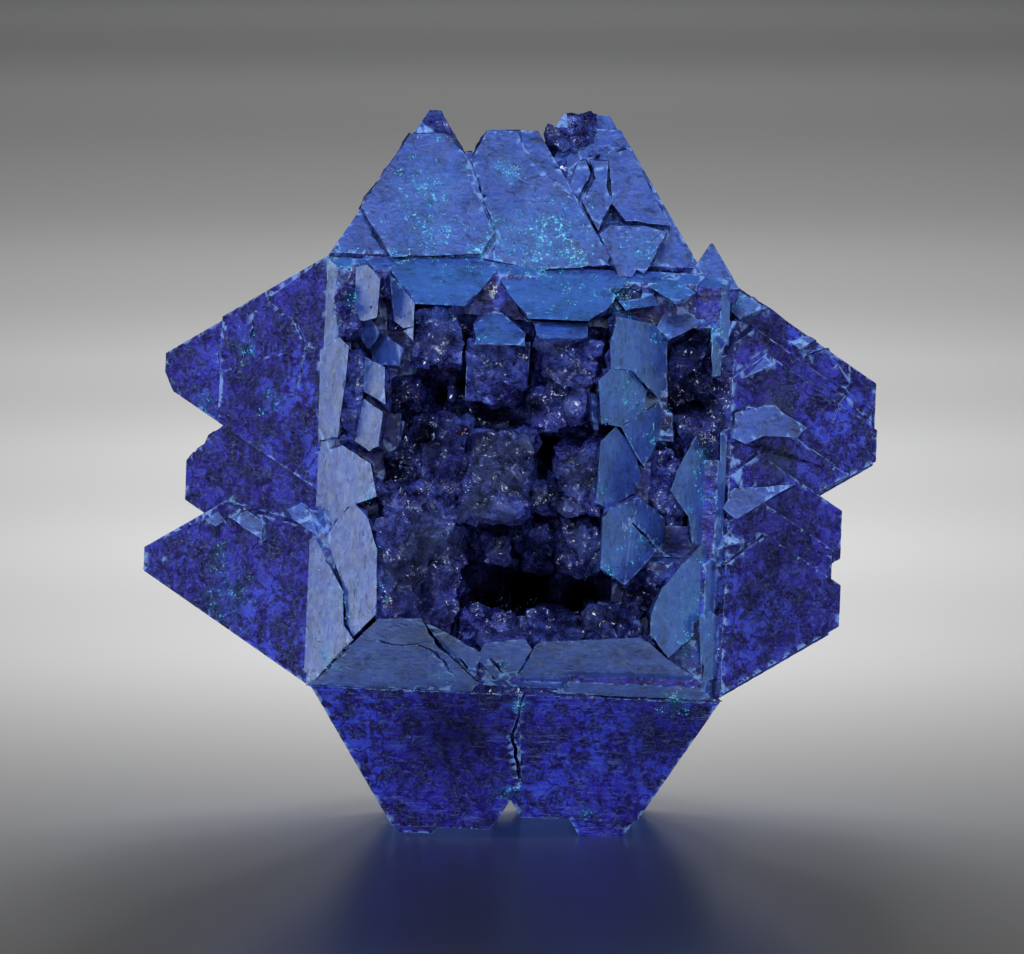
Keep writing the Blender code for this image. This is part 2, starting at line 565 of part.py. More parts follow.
def floor_cut(collection):
    """The slab below the feet, which leaves them flat."""
    bm = bmesh.new()
    bmesh.ops.create_cube(bm, size=1)
    bmesh.ops.scale(bm, vec=(60, 60, 8), verts=bm.verts[:])
    bmesh.ops.translate(bm, vec=(0, 0, -4), verts=bm.verts[:])
    slab = new_object(bm, "floor cut", collection)
    slab.parent = None
    return slab


def main():
    for obj in list(bpy.data.objects):
        bpy.data.objects.remove(obj)
    lattice = bpy.data.objects.new("lattice", None)
    bpy.context.scene.collection.objects.link(lattice)
    turn = Matrix.Rotation(-LEAN, 4, "X") @ Matrix.Rotation(ROLL, 4, "Y")
    place = Matrix.Translation(Vector((SHIFT_X, SHIFT_Y, STAND_HEIGHT)) * MM)
    lattice.matrix_world = place @ turn

    body = core(new_collection(f"{NAME} cluster"))
    body.data.materials.append(finish_material())
    grown = new_collection("large crystals")
    late = new_collection("facets and blocks")
    arms = (top_arm, left_arm, right_arm, bottom_arm, back_arm)
    for build in (*arms, terraces, frame, corner_crystals, pit_floor):
        build(grown, late)
    cutters = new_collection("breaks")
    breaks(cutters)
    feet = new_collection("foot plane")
    floor_cut(feet)
    combine(body, grown, "UNION", "EXACT")
    combine(body, cutters, "DIFFERENCE", "MANIFOLD")
    combine(body, late, "UNION", "MANIFOLD")
    combine(body, feet, "DIFFERENCE", "MANIFOLD")
    close_pockets(body)


main()
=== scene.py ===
"""Looks of a cumengeite cluster: blue crystal faces, broken hollows, crusts and the studio.

Lengths are metres, and a name that ends in _mm holds millimetres. The crystal lattice is
named as the specimen stands: x to the right, y away from the viewer and z up, rolled and
leaned a little. Details that the photograph places are given by their pixel in it, and are
laid on the surface that the camera sees there.
"""

import heapq
import json
import logging
import math
import random
from dataclasses import dataclass, field
from enum import IntEnum

import bmesh
import bpy
from mathutils import Matrix, Vector, noise
from mathutils.bvhtree import BVHTree

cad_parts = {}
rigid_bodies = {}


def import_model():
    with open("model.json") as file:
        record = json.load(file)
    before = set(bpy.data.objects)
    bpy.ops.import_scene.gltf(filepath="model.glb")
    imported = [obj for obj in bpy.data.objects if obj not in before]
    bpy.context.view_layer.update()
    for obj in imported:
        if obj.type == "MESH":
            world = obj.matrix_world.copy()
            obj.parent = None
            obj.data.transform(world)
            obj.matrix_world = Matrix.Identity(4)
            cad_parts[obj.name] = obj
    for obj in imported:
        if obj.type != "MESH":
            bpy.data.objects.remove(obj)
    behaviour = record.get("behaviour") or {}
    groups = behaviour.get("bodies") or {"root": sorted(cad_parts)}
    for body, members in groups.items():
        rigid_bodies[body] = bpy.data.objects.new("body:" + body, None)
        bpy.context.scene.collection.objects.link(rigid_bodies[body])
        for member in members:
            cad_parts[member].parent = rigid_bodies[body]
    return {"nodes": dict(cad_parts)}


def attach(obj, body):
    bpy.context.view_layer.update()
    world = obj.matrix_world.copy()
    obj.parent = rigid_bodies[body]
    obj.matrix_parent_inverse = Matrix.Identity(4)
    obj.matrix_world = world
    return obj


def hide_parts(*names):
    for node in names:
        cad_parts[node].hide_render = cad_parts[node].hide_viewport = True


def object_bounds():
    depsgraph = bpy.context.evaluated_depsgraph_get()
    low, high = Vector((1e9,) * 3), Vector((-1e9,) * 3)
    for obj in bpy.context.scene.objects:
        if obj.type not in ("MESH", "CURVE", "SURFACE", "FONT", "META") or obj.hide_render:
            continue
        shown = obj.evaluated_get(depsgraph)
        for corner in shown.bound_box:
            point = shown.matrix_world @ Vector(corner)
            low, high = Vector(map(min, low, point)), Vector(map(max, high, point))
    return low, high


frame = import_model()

CAD_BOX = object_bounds()
MM = 0.001
NODE = "cumengeite"
LOG = logging.getLogger("cluster")

Colour = tuple[float, float, float]
Pixel = tuple[float, float]


class Surface(IntEnum):
    """What a face of the cluster is, which is also its material slot."""

    FACE = 0
    BREAK = 1


@dataclass(frozen=True)
class Lattice:
    """The crystal's face directions, as the cluster stands.

    Attributes:
        taper: how far a pyramid face comes in for each unit along its axis.
        roll: turn to the right, as seen from the front.
        lean: tilt away from the viewer.
    """

    taper: float = 0.615
    roll: float = math.radians(2.4)
    lean: float = math.radians(4.5)

    def turn(self) -> Matrix:
        """The rotation from the crystal's own axes to the standing cluster."""
        return Matrix.Rotation(-self.lean, 3, "X") @ Matrix.Rotation(self.roll, 3, "Y")

    def pyramid_faces(self) -> list[Vector]:
        """The outward directions of all pyramid faces."""
        slope = math.atan(self.taper)
        turn = self.turn()
        faces = []
        for steep in range(3):
            for shallow in range(3):
                for first in (-1, 1):
                    for second in (-1, 1):
                        way = Vector((0, 0, 0))
                        way[steep] = first * math.cos(slope)
                        way[shallow] += second * math.sin(slope)
                        if steep != shallow:
                            faces.append(turn @ way)
        return faces

    def cube_faces(self) -> list[Vector]:
        """The outward directions of the flat tops and ends."""
        turn = self.turn()
        return [turn @ Vector(way) for way in ((0, 0, 1), (1, 0, 0), (-1, 0, 0), (0, -1, 0), (0, 1, 0), (0, 0, -1))]

    def ledge(self) -> Vector:
        """The outward direction of the bright treads on the stepped side arms."""
        return self.turn() @ Vector((0, -0.86, 0.51)).normalized()


@dataclass(frozen=True)
class PhotoView:
    """The photograph's camera, which also finds the place of a pixel.

    Attributes:
        width: the frame's width in pixels.
        height: the frame's height in pixels.
        pixel: what a pixel spans at the front of the cluster.
        distance: from the aim to the camera.
        front: how far the front of the cluster is before the aim.
        elevation: the camera's height as an angle.
        aim: the middle of the cube.
        aim_pixel: where the aim is in the frame.
        sensor: the sensor's width in millimetres.
    """

    width: int = 1024
    height: int = 954
    pixel: float = 0.0409 * MM
    distance: float = 400 * MM
    front: float = 6 * MM
    elevation: float = math.radians(4.5)
    aim: tuple[float, float, float] = (0.27 * MM, 0.0, 14.4 * MM)
    aim_pixel: Pixel = (517, 473)
    sensor: float = 36.0

    def back(self) -> Vector:
        """The direction from the aim to the camera."""
        return Vector((0, -math.cos(self.elevation), math.sin(self.elevation)))

    def lens(self) -> float:
        """The focal length in millimetres."""
        return self.sensor * (self.distance - self.front) / (self.width * self.pixel)

    def shift(self) -> Pixel:
        """The lens shift, as shares of the frame's width."""
        x, y = self.aim_pixel
        return (self.width / 2 - x) / self.width, (y - self.height / 2) / self.width

    def turn(self) -> Matrix:
        """The camera's rotation."""
        return self.back().to_track_quat("Z", "Y").to_matrix()

    def place(self) -> Vector:
        """Where the camera stands."""
        return Vector(self.aim) + self.back() * self.distance

    def ray(self, pixel: Pixel) -> Vector:
        """The direction in which a pixel is seen.

        Args:
            pixel: x and y in the photograph.

        Returns:
            A unit vector that points away from the camera.
        """
        shift_x, shift_y = self.shift()
        x = ((pixel[0] - self.width / 2) / self.width + shift_x) * self.sensor
        y = ((self.height / 2 - pixel[1]) / self.width + shift_y) * self.sensor
        return (self.turn() @ Vector((x, y, -self.lens()))).normalized()

    def add_camera(self) -> bpy.types.Object:
        """Makes the camera and gives it to the scene."""
        data = bpy.data.cameras.new("photo camera")
        data.sensor_width = self.sensor
        data.lens = self.lens()
        data.shift_x, data.shift_y = self.shift()
        data.clip_start = 1 * MM
        data.clip_end = 10
        camera = bpy.data.objects.new("photo camera", data)
        camera.matrix_world = Matrix.Translation(self.place()) @ self.turn().to_4x4()
        bpy.context.scene.collection.objects.link(camera)
        bpy.context.scene.camera = camera
        return camera


VIEW = PhotoView()
LATTICE = Lattice()


def new_piece(bm: bmesh.types.BMesh, name: str) -> bpy.types.Object:
    """Turns a bmesh into an object at the origin.

    Args:
        bm: the shape, which is freed.
        name: the object's name.

    Returns:
        The new object, linked to the scene.
    """
    mesh = bpy.data.meshes.new(name)
    bm.to_mesh(mesh)
    bm.free()
    stale = mesh.attributes.get("custom_normal")
    if stale:
        mesh.attributes.remove(stale)
    piece = bpy.data.objects.new(name, mesh)
    bpy.context.scene.collection.objects.link(piece)
    return piece


@dataclass(frozen=True)
class Crack:
    """An open crack, given by the pixels it runs through.

    Attributes:
        pixels: its corners in the photograph.
        width: how wide it gapes.
        depth: how deep it cuts.
    """

    pixels: tuple[Pixel, ...]
    width: float = 0.07 * MM
    depth: float = 0.35 * MM

    def points(self, step: float, wander: float) -> list[Pixel]:
        """Pixels along the crack, a short step apart, with a jagged course.

        Args:
            step: pixels between two points.
            wander: how far a point may leave the straight line, in pixels.
        """
        course = []
        for (x0, y0), (x1, y1) in zip(self.pixels, self.pixels[1:]):
            length = math.hypot(x1 - x0, y1 - y0)
            count = max(1, round(length / step))
            for i in range(count):
                share = i / count
                x, y = x0 + share * (x1 - x0), y0 + share * (y1 - y0)
                side = noise.noise(Vector((x, y, 0)) * 0.37) * wander
                course.append((x - side * (y1 - y0) / length, y + side * (x1 - x0) / length))
        return course + [self.pixels[-1]]

    def wedge(self, surface: BVHTree) -> bmesh.types.BMesh | None:
        """The wedge that opens the crack, along the surface that the pixels show.

        Args:
            surface: the cluster's surface.

        Returns:
            A closed shape, or None where the surface is missed.
        """
        hits = [surface.ray_cast(VIEW.place(), VIEW.ray(p)) for p in self.points(7, 2.5)]
        hits = [(place, normal) for place, normal, _, _ in hits if place is not None]
        if len(hits) < 2:
            return None
        bm = bmesh.new()
        section = [bm.verts.new() for _ in range(3)]
        bm.faces.new(section)
        last = len(hits) - 1
        ring = section
        for i, (place, normal) in enumerate(hits):
            if i:
                grown = bmesh.ops.extrude_edge_only(bm, edges=self._edges_of(ring))["geom"]
                by_old = {}
                for face in [g for g in grown if isinstance(g, bmesh.types.BMFace)]:
                    new = [v for v in face.verts if v not in ring]
                    for vert in new:
                        by_old[vert] = next(
                            e.other_vert(vert) for e in vert.link_edges if e.other_vert(vert) in ring
                        )
                ring = [next(n for n, o in by_old.items() if o is old) for old in ring]
            ahead = hits[min(i + 1, last)][0] - hits[max(i - 1, 0)][0]
            side = ahead.cross(normal).normalized()
            taper = math.sin(math.pi * (i + 0.35) / (last + 0.7))
            half = side * self.width * (0.35 + 0.65 * taper) / 2
            lift = normal * 0.1 * MM
            sink = normal * self.depth * (0.3 + 0.7 * taper)
            for vert, spot in zip(ring, (half * 2 + lift, -half * 2 + lift, -sink)):
                vert.co = place + spot
        bm.faces.new(ring)
        bmesh.ops.recalc_face_normals(bm, faces=bm.faces[:])
        return bm

    @staticmethod
    def _edges_of(ring: list[bmesh.types.BMVert]) -> list[bmesh.types.BMEdge]:
        """The edges that join a closed ring of vertices."""
        around = zip(ring, ring[1:] + ring[:1])
        return [next(e for e in a.link_edges if e.other_vert(a) is b) for a, b in around]


@dataclass(frozen=True)
class Fracture:
    """How broken surfaces are shaped: stepped blocks, tipped chips, shell-like dents and layers.

    Attributes:
        steps: pairs of a block's size and how far it stands out or back.
        chips: pairs of a flat chip's size and how far it tips.
        dents: pairs of a shell-like dent's size and its depth.
        bends: pairs of a bend's size and how far it pushes the surface about.
        layer: the distance between two layers at the arms' ends, and their step.
    """

    steps: tuple[tuple[float, float], ...] = (
        (1.5 * MM, 0.13 * MM), (0.75 * MM, 0.09 * MM), (0.38 * MM, 0.04 * MM),
    )
    chips: tuple[tuple[float, float], ...] = ((1.1 * MM, 0.32 * MM), (0.5 * MM, 0.16 * MM))
    dents: tuple[tuple[float, float], ...] = ((1.3 * MM, 0.06 * MM),)
    bends: tuple[tuple[float, float], ...] = ((2.0 * MM, 0.12 * MM), (0.8 * MM, 0.05 * MM))
    layer: tuple[float, float] = (0.42 * MM, 0.09 * MM)
    level: Matrix = field(default_factory=lambda: LATTICE.turn().inverted())

    def warp(self, place: Vector) -> Vector:
        """How far a place is pushed about, so that no outline stays straight."""
        total = Vector((0, 0, 0))
        for size, reach in self.bends:
            total += noise.noise_vector(place / size) * reach
        return total

    def height(self, place: Vector) -> float:
        """How far the surface stands out at a place, below zero where it's sunk."""
        upright = self.level @ place
        total = 0.0
        for size, depth in self.steps:
            spot = upright / size + noise.noise_vector(upright / (2.2 * size)) * 0.3
            gaps, cells = noise.voronoi(spot, distance_metric="CHEBYCHEV")
            edge = min(1.0, (gaps[1] - gaps[0]) / 0.12)
            total += depth * edge * (noise.cell_vector(cells[0] * 7.3).x * 2 - 1)
        for size, tip in self.chips:
            spot = upright / size + noise.noise_vector(upright / (1.9 * size)) * 0.35
            cell = noise.voronoi(spot)[1][0]
            total += tip * (spot - cell).dot(noise.cell_vector(cell * 7.3) * 2 - Vector((1, 1, 1)))
        for size, depth in self.dents:
            spot = place / size
            near = noise.voronoi(spot + noise.noise_vector(spot * 0.9) * 0.5)[0][0]
            total += depth * (near * near * 1.8 - 0.5)
        ends = min(1.0, max(0.0, (abs(place.x) - 11.4 * MM) / (1.2 * MM)))
        if ends:
            size, depth = self.layer
            along = place.x / size + 0.8 * noise.noise(place / (1.3 * MM))
            wave = abs(along - math.floor(along) - 0.5) * 2
            total = total * (1 - 0.5 * ends) + ends * depth * (wave - 0.5)
        return total


@dataclass(frozen=True)
class Patch:
    """A round patch of dust, of painted shade or of painted grey sheen, laid on what a pixel shows.

    Attributes:
        pixel: its middle in the photograph.
        reach: its radius in pixels.
        density: how thick it lies, from 0 to 1.
    """

    pixel: Pixel
    reach: float
    density: float

    def place(self, surface: BVHTree) -> Vector | None:
        """Where the middle is on the surface."""
        return surface.ray_cast(VIEW.place(), VIEW.ray(self.pixel))[0]


@dataclass
class CrystalBody:
    """The cluster itself, made from a copy of its plain solid.

    Attributes:
        cracks: the open cracks that show in the photograph.
        patches: where cyan dust lies.
        gloom: where painted shade makes the stone near black.
        ash: where broken stone gets a painted grey sheen.
        fracture: the shape of the broken surfaces.
        rim: the width of the band along a face's edges, which gets nicked and a painted highlight.
        fine: the mesh's edge length where it is broken and faces the viewer.
        coarse: the same elsewhere.
        seed: of the faces' tones.
    """

    cracks: tuple[Crack, ...]
    patches: tuple[Patch, ...]
    gloom: tuple[Patch, ...]
    ash: tuple[Patch, ...]
    fracture: Fracture = Fracture()
    rim: float = 0.06 * MM
    fine: float = 0.13 * MM
    coarse: float = 0.4 * MM
    face_tolerance: float = math.cos(math.radians(1.0))
    seed: int = 4
    sight: Vector = field(default_factory=VIEW.back, init=False)

    def build(self) -> bpy.types.Object:
        """Makes the mesh with its two finishes' faces sorted."""
        bm = self._copy()
        bm = self._cut(bm, self._crack_wedges(bm))
        self._sort_faces(bm)
        self._rim_faces(bm)
        self._refine(bm)
        self._spread(bm, "dust", self.patches)
        self._spread(bm, "gloom", self.gloom)
        self._spread(bm, "ash", self.ash)
        self._wear(bm)
        return new_piece(bm, "cumengeite_crystals")

    def _copy(self) -> bmesh.types.BMesh:
        """A merged copy of the solid."""
        bm = bmesh.new()
        bm.from_mesh(frame["nodes"][NODE].data)
        bmesh.ops.remove_doubles(bm, verts=bm.verts[:], dist=0.001 * MM)
        return bm

    def _crack_wedges(self, bm: bmesh.types.BMesh) -> list[bmesh.types.BMesh]:
        """The wedges of all cracks that lie on the surface."""
        surface = BVHTree.FromBMesh(bm)
        wedges = [crack.wedge(surface) for crack in self.cracks]
        return [wedge for wedge in wedges if wedge is not None]

    def _cut(self, bm: bmesh.types.BMesh, shapes: list[bmesh.types.BMesh]) -> bmesh.types.BMesh:
        """Cuts closed shapes from the body and returns the result, flat areas whole."""
        body = new_piece(bm, "uncut")
        tools = bpy.data.collections.new("cutters")
        bpy.context.scene.collection.children.link(tools)
        for i, shape in enumerate(shapes):
            tool = new_piece(shape, f"cutter_{i}")
            bpy.context.scene.collection.objects.unlink(tool)
            tools.objects.link(tool)
        change = body.modifiers.new("cut", "BOOLEAN")
        change.operation = "DIFFERENCE"
        change.operand_type = "COLLECTION"
        change.collection = tools
        change.solver = "MANIFOLD"
        bpy.context.view_layer.update()
        cut = bmesh.new()
        cut.from_object(body, bpy.context.evaluated_depsgraph_get())
        for used in [body, *tools.objects]:
            bpy.data.objects.remove(used)
        bpy.data.collections.remove(tools)
        flat = math.radians(0.25)
        bmesh.ops.dissolve_limit(cut, angle_limit=flat, verts=cut.verts[:], edges=cut.edges[:])
        return cut

    def _sort_faces(self, bm: bmesh.types.BMesh) -> None:
        """Tells grown faces from broken surfaces by direction, gives each a tone and marks the faces that get a painted
        sheen.
        """
        grown = [*LATTICE.pyramid_faces(), *LATTICE.cube_faces(), LATTICE.ledge()]
        tone = bm.faces.layers.float.new("tone")
        bloom = bm.faces.layers.float.new("bloom")
        chance = random.Random(self.seed)
        for face in bm.faces:
            near = max(face.normal.dot(way) for way in grown)
            clean = near > self.face_tolerance
            face.material_index = Surface.FACE if clean else Surface.BREAK
            face[tone] = chance.random()
            # Faces that tilt up or lean back like the frame's get a painted sheen.
            face[bloom] = float(clean and (face.normal.z > 0.3 or -0.65 < face.normal.y < 0))

    def _rim_faces(self, bm: bmesh.types.BMesh) -> None:
        """Gives every wide enough crystal face a narrow band along its edges."""
        wide = []
        for face in bm.faces:
            around = sum(edge.calc_length() for edge in face.edges)
            if face.material_index == Surface.FACE and 2 * face.calc_area() / around > 3.5 * self.rim:
                wide.append(face)
        corners = set(bm.verts)
        bmesh.ops.inset_individual(bm, faces=wide, thickness=self.rim, use_even_offset=True)
        for vert in [v for v in bm.verts if v not in corners]:
            corner = next(e.other_vert(vert) for e in vert.link_edges if e.other_vert(vert) in corners)
            step = vert.co - corner.co
            if step.length > 2.5 * self.rim:
                vert.co = corner.co + step.normalized() * 2.5 * self.rim

    def _limit(self, edge: bmesh.types.BMEdge) -> float:
        """How long an edge may be."""
        front = edge.verts[0].co.y < -3.5 * MM
        broken = [face for face in edge.link_faces if face.material_index]
        if broken:
            seen = front and any(face.normal.dot(self.sight) > 0.1 for face in broken)
            return self.fine if seen else self.coarse
        if edge.calc_face_angle(0.0) > 0.14:
            return 0.26 * MM if front else 0.7 * MM
        return 0.7 * MM if front else 1.6 * MM

    def _refine(self, bm: bmesh.types.BMesh) -> None:
        """Splits long edges until every edge is within its limit."""
        bmesh.ops.triangulate(bm, faces=bm.faces[:])
        self._relax(bm)
        for _ in range(9):
            long = [edge for edge in bm.edges if edge.calc_length() > 1.35 * self._limit(edge)]
            if not long:
                break
            bmesh.ops.subdivide_edges(bm, edges=long, cuts=1)
            many = [face for face in bm.faces if len(face.verts) > 3]
            bmesh.ops.triangulate(bm, faces=many)
            self._relax(bm)
        LOG.info("refined to %d triangles", len(bm.faces))

    @staticmethod
    def _relax(bm: bmesh.types.BMesh) -> None:
        """Turns edges inside flat areas so that no thin triangles are left."""
        flat = [edge for edge in bm.edges if edge.calc_face_angle(1.0) < 0.004]
        bmesh.ops.beautify_fill(bm, faces=bm.faces[:], edges=flat, method="ANGLE")

    @staticmethod
    def _spread(bm: bmesh.types.BMesh, name: str, patches: tuple[Patch, ...]) -> None:
        """Writes how thick patches lie on every vertex.

        Args:
            bm: the body.
            name: the attribute that gets the thickness.
            patches: the patches.
        """
        surface = BVHTree.FromBMesh(bm)
        spots = [(patch.place(surface), patch) for patch in patches]
        layer = bm.verts.layers.float.new(name)
        for vert in bm.verts:
            for place, patch in spots:
                if place is None:
                    continue
                share = 1 - (vert.co - place).length / (patch.reach * VIEW.pixel)
                if share > 0:
                    thick = patch.density * share * share * (3 - 2 * share)
                    vert[layer] = max(vert[layer], thick)

    def _wear(self, bm: bmesh.types.BMesh) -> None:
        """Roughens the breaks, rounds their blocks, nicks the crystals' edges and marks where painted edge highlights
        go.
        """
        # Marks where a painted highlight goes along the crystals' nicked edges and the borders of breaks.
        wear = bm.verts.layers.float.new("wear")
        relief = bm.verts.layers.float.new("relief")
        bm.verts.index_update()
        broken = [v for v in bm.verts if all(f.material_index == Surface.BREAK for f in v.link_faces)]
        inland = self._inland(broken)
        for vert in broken:
            if vert.co.z > 0.5 * MM:
                vert.co += self.fracture.warp(vert.co) * inland[vert]
        for _ in range(2):
            bmesh.ops.smooth_vert(bm, verts=broken, factor=0.5)
        bm.normal_update()
        moves = []
        for vert in bm.verts:
            kinds = {face.material_index for face in vert.link_faces}
            if vert.co.z < 0.02 * MM:
                continue
            if Surface.BREAK in kinds:
                height = self.fracture.height(vert.co)
                vert[relief] = height / (0.2 * MM)
                if Surface.FACE in kinds:
                    vert[wear] = 1.0
                    moves.append((vert, self._border_move(vert, height)))
                else:
                    moves.append((vert, vert.normal * height * (0.3 + 0.7 * inland[vert])))
            elif any(e.calc_face_angle_signed(0.0) > 0.2 for e in vert.link_edges):
                nick = max(0.0, noise.noise(vert.co / (0.5 * MM)) - 0.25)
                moves.append((vert, -vert.normal * (0.012 * MM + nick * 0.09 * MM)))
                vert[wear] = 1.0
        low, high = CAD_BOX
        for vert, move in moves:
            vert.co = Vector(min(max(c, lo), hi) for c, lo, hi in zip(vert.co + move, low, high))
        for face in bm.faces:
            face.smooth = face.material_index == Surface.BREAK
        for edge in bm.edges:
            broken_on_both = all(face.material_index for face in edge.link_faces)
            edge.smooth = broken_on_both and edge.calc_face_angle(0.0) < math.radians(28)

    @staticmethod
    def _inland(broken: list[bmesh.types.BMVert]) -> dict[bmesh.types.BMVert, float]:
        """How far broken vertices are from crystal faces, as a share from 0 to 1."""
        inside, far = set(broken), {}
        border = {e.other_vert(v) for v in broken for e in v.link_edges} - inside
        queue = [(0.0, v.index, v) for v in border]
        heapq.heapify(queue)
        while queue:
            length, _, vert = heapq.heappop(queue)
            if vert in far:
                continue
            far[vert] = length
            for edge in vert.link_edges:
                other = edge.other_vert(vert)
                if other in inside and other not in far:
                    heapq.heappush(queue, (length + edge.calc_length(), other.index, other))
        shares = {v: min(1.0, far.get(v, 1.0) / (0.8 * MM)) for v in broken}
        return {v: share * share * (3 - 2 * share) for v, share in shares.items()}

    @staticmethod
    def _border_move(vert: bmesh.types.BMVert, height: float) -> Vector:
        """How a vertex between a crystal face and a break moves within the face."""
        flats = [f.normal for f in vert.link_faces if f.material_index == Surface.FACE]
        if any(flats[0].dot(other) < 0.999 for other in flats):
            return Vector((0, 0, 0))
        inward = -vert.normal
        slide = inward - flats[0] * inward.dot(flats[0])
        return slide * max(0.0, min(0.1 * MM, 0.03 * MM + height * 0.5))


PATCHES = (
    Patch((507, 170), 18, 1.0), Patch((545, 240), 70, 0.62), Patch((505, 235), 45, 0.5),
    Patch((430, 190), 55, 0.5), Patch((430, 235), 50, 0.45), Patch((480, 250), 16, 1.0),
    Patch((577, 256), 20, 1.0), Patch((402, 260), 16, 0.9), Patch((640, 252), 30, 0.55),
    Patch((440, 285), 60, 0.2), Patch((560, 300), 70, 0.2), Patch((618, 305), 28, 0.6),
    Patch((699, 257), 14, 0.9), Patch((714, 333), 22, 0.6), Patch((740, 300), 30, 0.4),
    Patch((672, 290), 26, 0.45), Patch((660, 335), 18, 0.5), Patch((628, 395), 34, 0.6),
    Patch((652, 440), 26, 0.45), Patch((640, 545), 28, 0.4), Patch((612, 573), 18, 0.8),
    Patch((604, 486), 14, 0.4), Patch((703, 460), 18, 0.6), Patch((703, 498), 20, 0.6),
    Patch((366, 497), 18, 0.8), Patch((326, 658), 20, 0.9), Patch((352, 300), 16, 0.4),
    Patch((676, 698), 18, 1.0), Patch((519, 706), 12, 0.9), Patch((508, 792), 14, 0.5),
    Patch((588, 812), 8, 0.7), Patch((690, 652), 24, 0.6), Patch((442, 676), 16, 0.5),
    Patch((505, 674), 14, 0.5), Patch((340, 262), 26, 0.5), Patch((245, 345), 22, 0.4),
    Patch((222, 557), 20, 0.3), Patch((272, 402), 18, 0.25), Patch((205, 405), 24, 0.4),
    Patch((690, 610), 40, 0.4), Patch((345, 600), 50, 0.25), Patch((230, 595), 40, 0.3),
)

# Painted shade: where the stone is darkened to near black, as in the pit's deep hole, under its blocks and in other
# recesses.
PAINTED_SHADE = (
    Patch((525, 592), 95, 1.0), Patch((490, 605), 60, 1.0), Patch((580, 600), 60, 0.95),
    Patch((547, 450), 36, 1.0), Patch((425, 435), 60, 0.8), Patch((400, 470), 45, 0.85),
    Patch((548, 560), 60, 0.75), Patch((445, 395), 30, 0.85), Patch((690, 400), 70, 0.8),
    Patch((672, 545), 40, 0.8), Patch((432, 370), 22, 0.5), Patch((420, 590), 60, 0.6),
    Patch((640, 600), 50, 0.7), Patch((500, 700), 60, 0.4), Patch((620, 740), 60, 0.2),
    Patch((300, 440), 40, 0.4), Patch((860, 452), 9, 1.0), Patch((780, 560), 110, 0.4),
    Patch((760, 620), 80, 0.4), Patch((450, 735), 90, 0.65), Patch((660, 730), 80, 0.45),
    Patch((770, 330), 30, 0.5), Patch((790, 430), 60, 0.3), Patch((255, 400), 60, 0.3),
    Patch((464, 350), 20, 0.85), Patch((462, 385), 24, 0.9), Patch((533, 360), 16, 0.85),
    Patch((533, 405), 24, 0.85), Patch((500, 412), 34, 0.75), Patch((478, 412), 22, 0.7),
    Patch((568, 428), 22, 0.6), Patch((464, 470), 18, 0.6), Patch((402, 410), 34, 0.8),
    Patch((540, 520), 30, 0.7), Patch((500, 530), 40, 0.55), Patch((470, 530), 22, 0.6),
    Patch((600, 520), 26, 0.5), Patch((690, 350), 40, 0.7), Patch((700, 440), 26, 0.5),
    Patch((652, 400), 18, 0.6), Patch((372, 450), 22, 0.6), Patch((360, 350), 18, 0.5),
    Patch((430, 620), 60, 0.6), Patch((560, 625), 50, 0.5), Patch((620, 630), 40, 0.4),
)

# Painted sheen: where broken stone is paled to a greyish blue, standing in for light caught by its facets.
PAINTED_GREY_SHEEN = (
    Patch((500, 465), 62, 1.0), Patch((480, 500), 40, 0.9), Patch((525, 450), 36, 0.8),
    Patch((578, 470), 40, 0.8), Patch((543, 497), 26, 1.0), Patch((430, 545), 62, 0.9),
    Patch((400, 575), 46, 0.7), Patch((438, 335), 34, 0.6), Patch((560, 385), 44, 0.5),
    Patch((495, 360), 40, 0.4), Patch((585, 535), 26, 0.8), Patch((500, 545), 24, 0.6),
    Patch((590, 615), 40, 0.6), Patch((425, 440), 30, 0.5), Patch((540, 150), 30, 0.5),
    Patch((780, 462), 30, 0.9), Patch((775, 405), 26, 0.9), Patch((850, 560), 60, 0.6),
)

CRACKS = (
    Crack(((377, 640), (395, 646), (416, 644), (435, 653), (443, 661), (447, 670), (453, 674))),
    Crack(((450, 656), (462, 660), (470, 671), (476, 679))),
    Crack(((490, 659), (497, 666), (503, 674))),
    Crack(((622, 515), (632, 522), (645, 536), (656, 548))),
    Crack(((632, 522), (637, 505)), width=0.05 * MM),
    Crack(((632, 522), (624, 531), (625, 546)), width=0.05 * MM),
    Crack(((525, 686), (519, 716), (512, 734), (519, 771), (522, 781), (511, 798)), width=0.1 * MM),
    Crack(((225, 323), (218, 350), (222, 380), (219, 406)), width=0.04 * MM, depth=0.1 * MM),
    Crack(((268, 301), (293, 319), (306, 346), (299, 387)), width=0.03 * MM, depth=0.1 * MM),
    Crack(((256, 311), (249, 340), (242, 365)), width=0.03 * MM, depth=0.1 * MM),
    Crack(((849, 383), (838, 405), (833, 423)), width=0.03 * MM, depth=0.1 * MM),
)


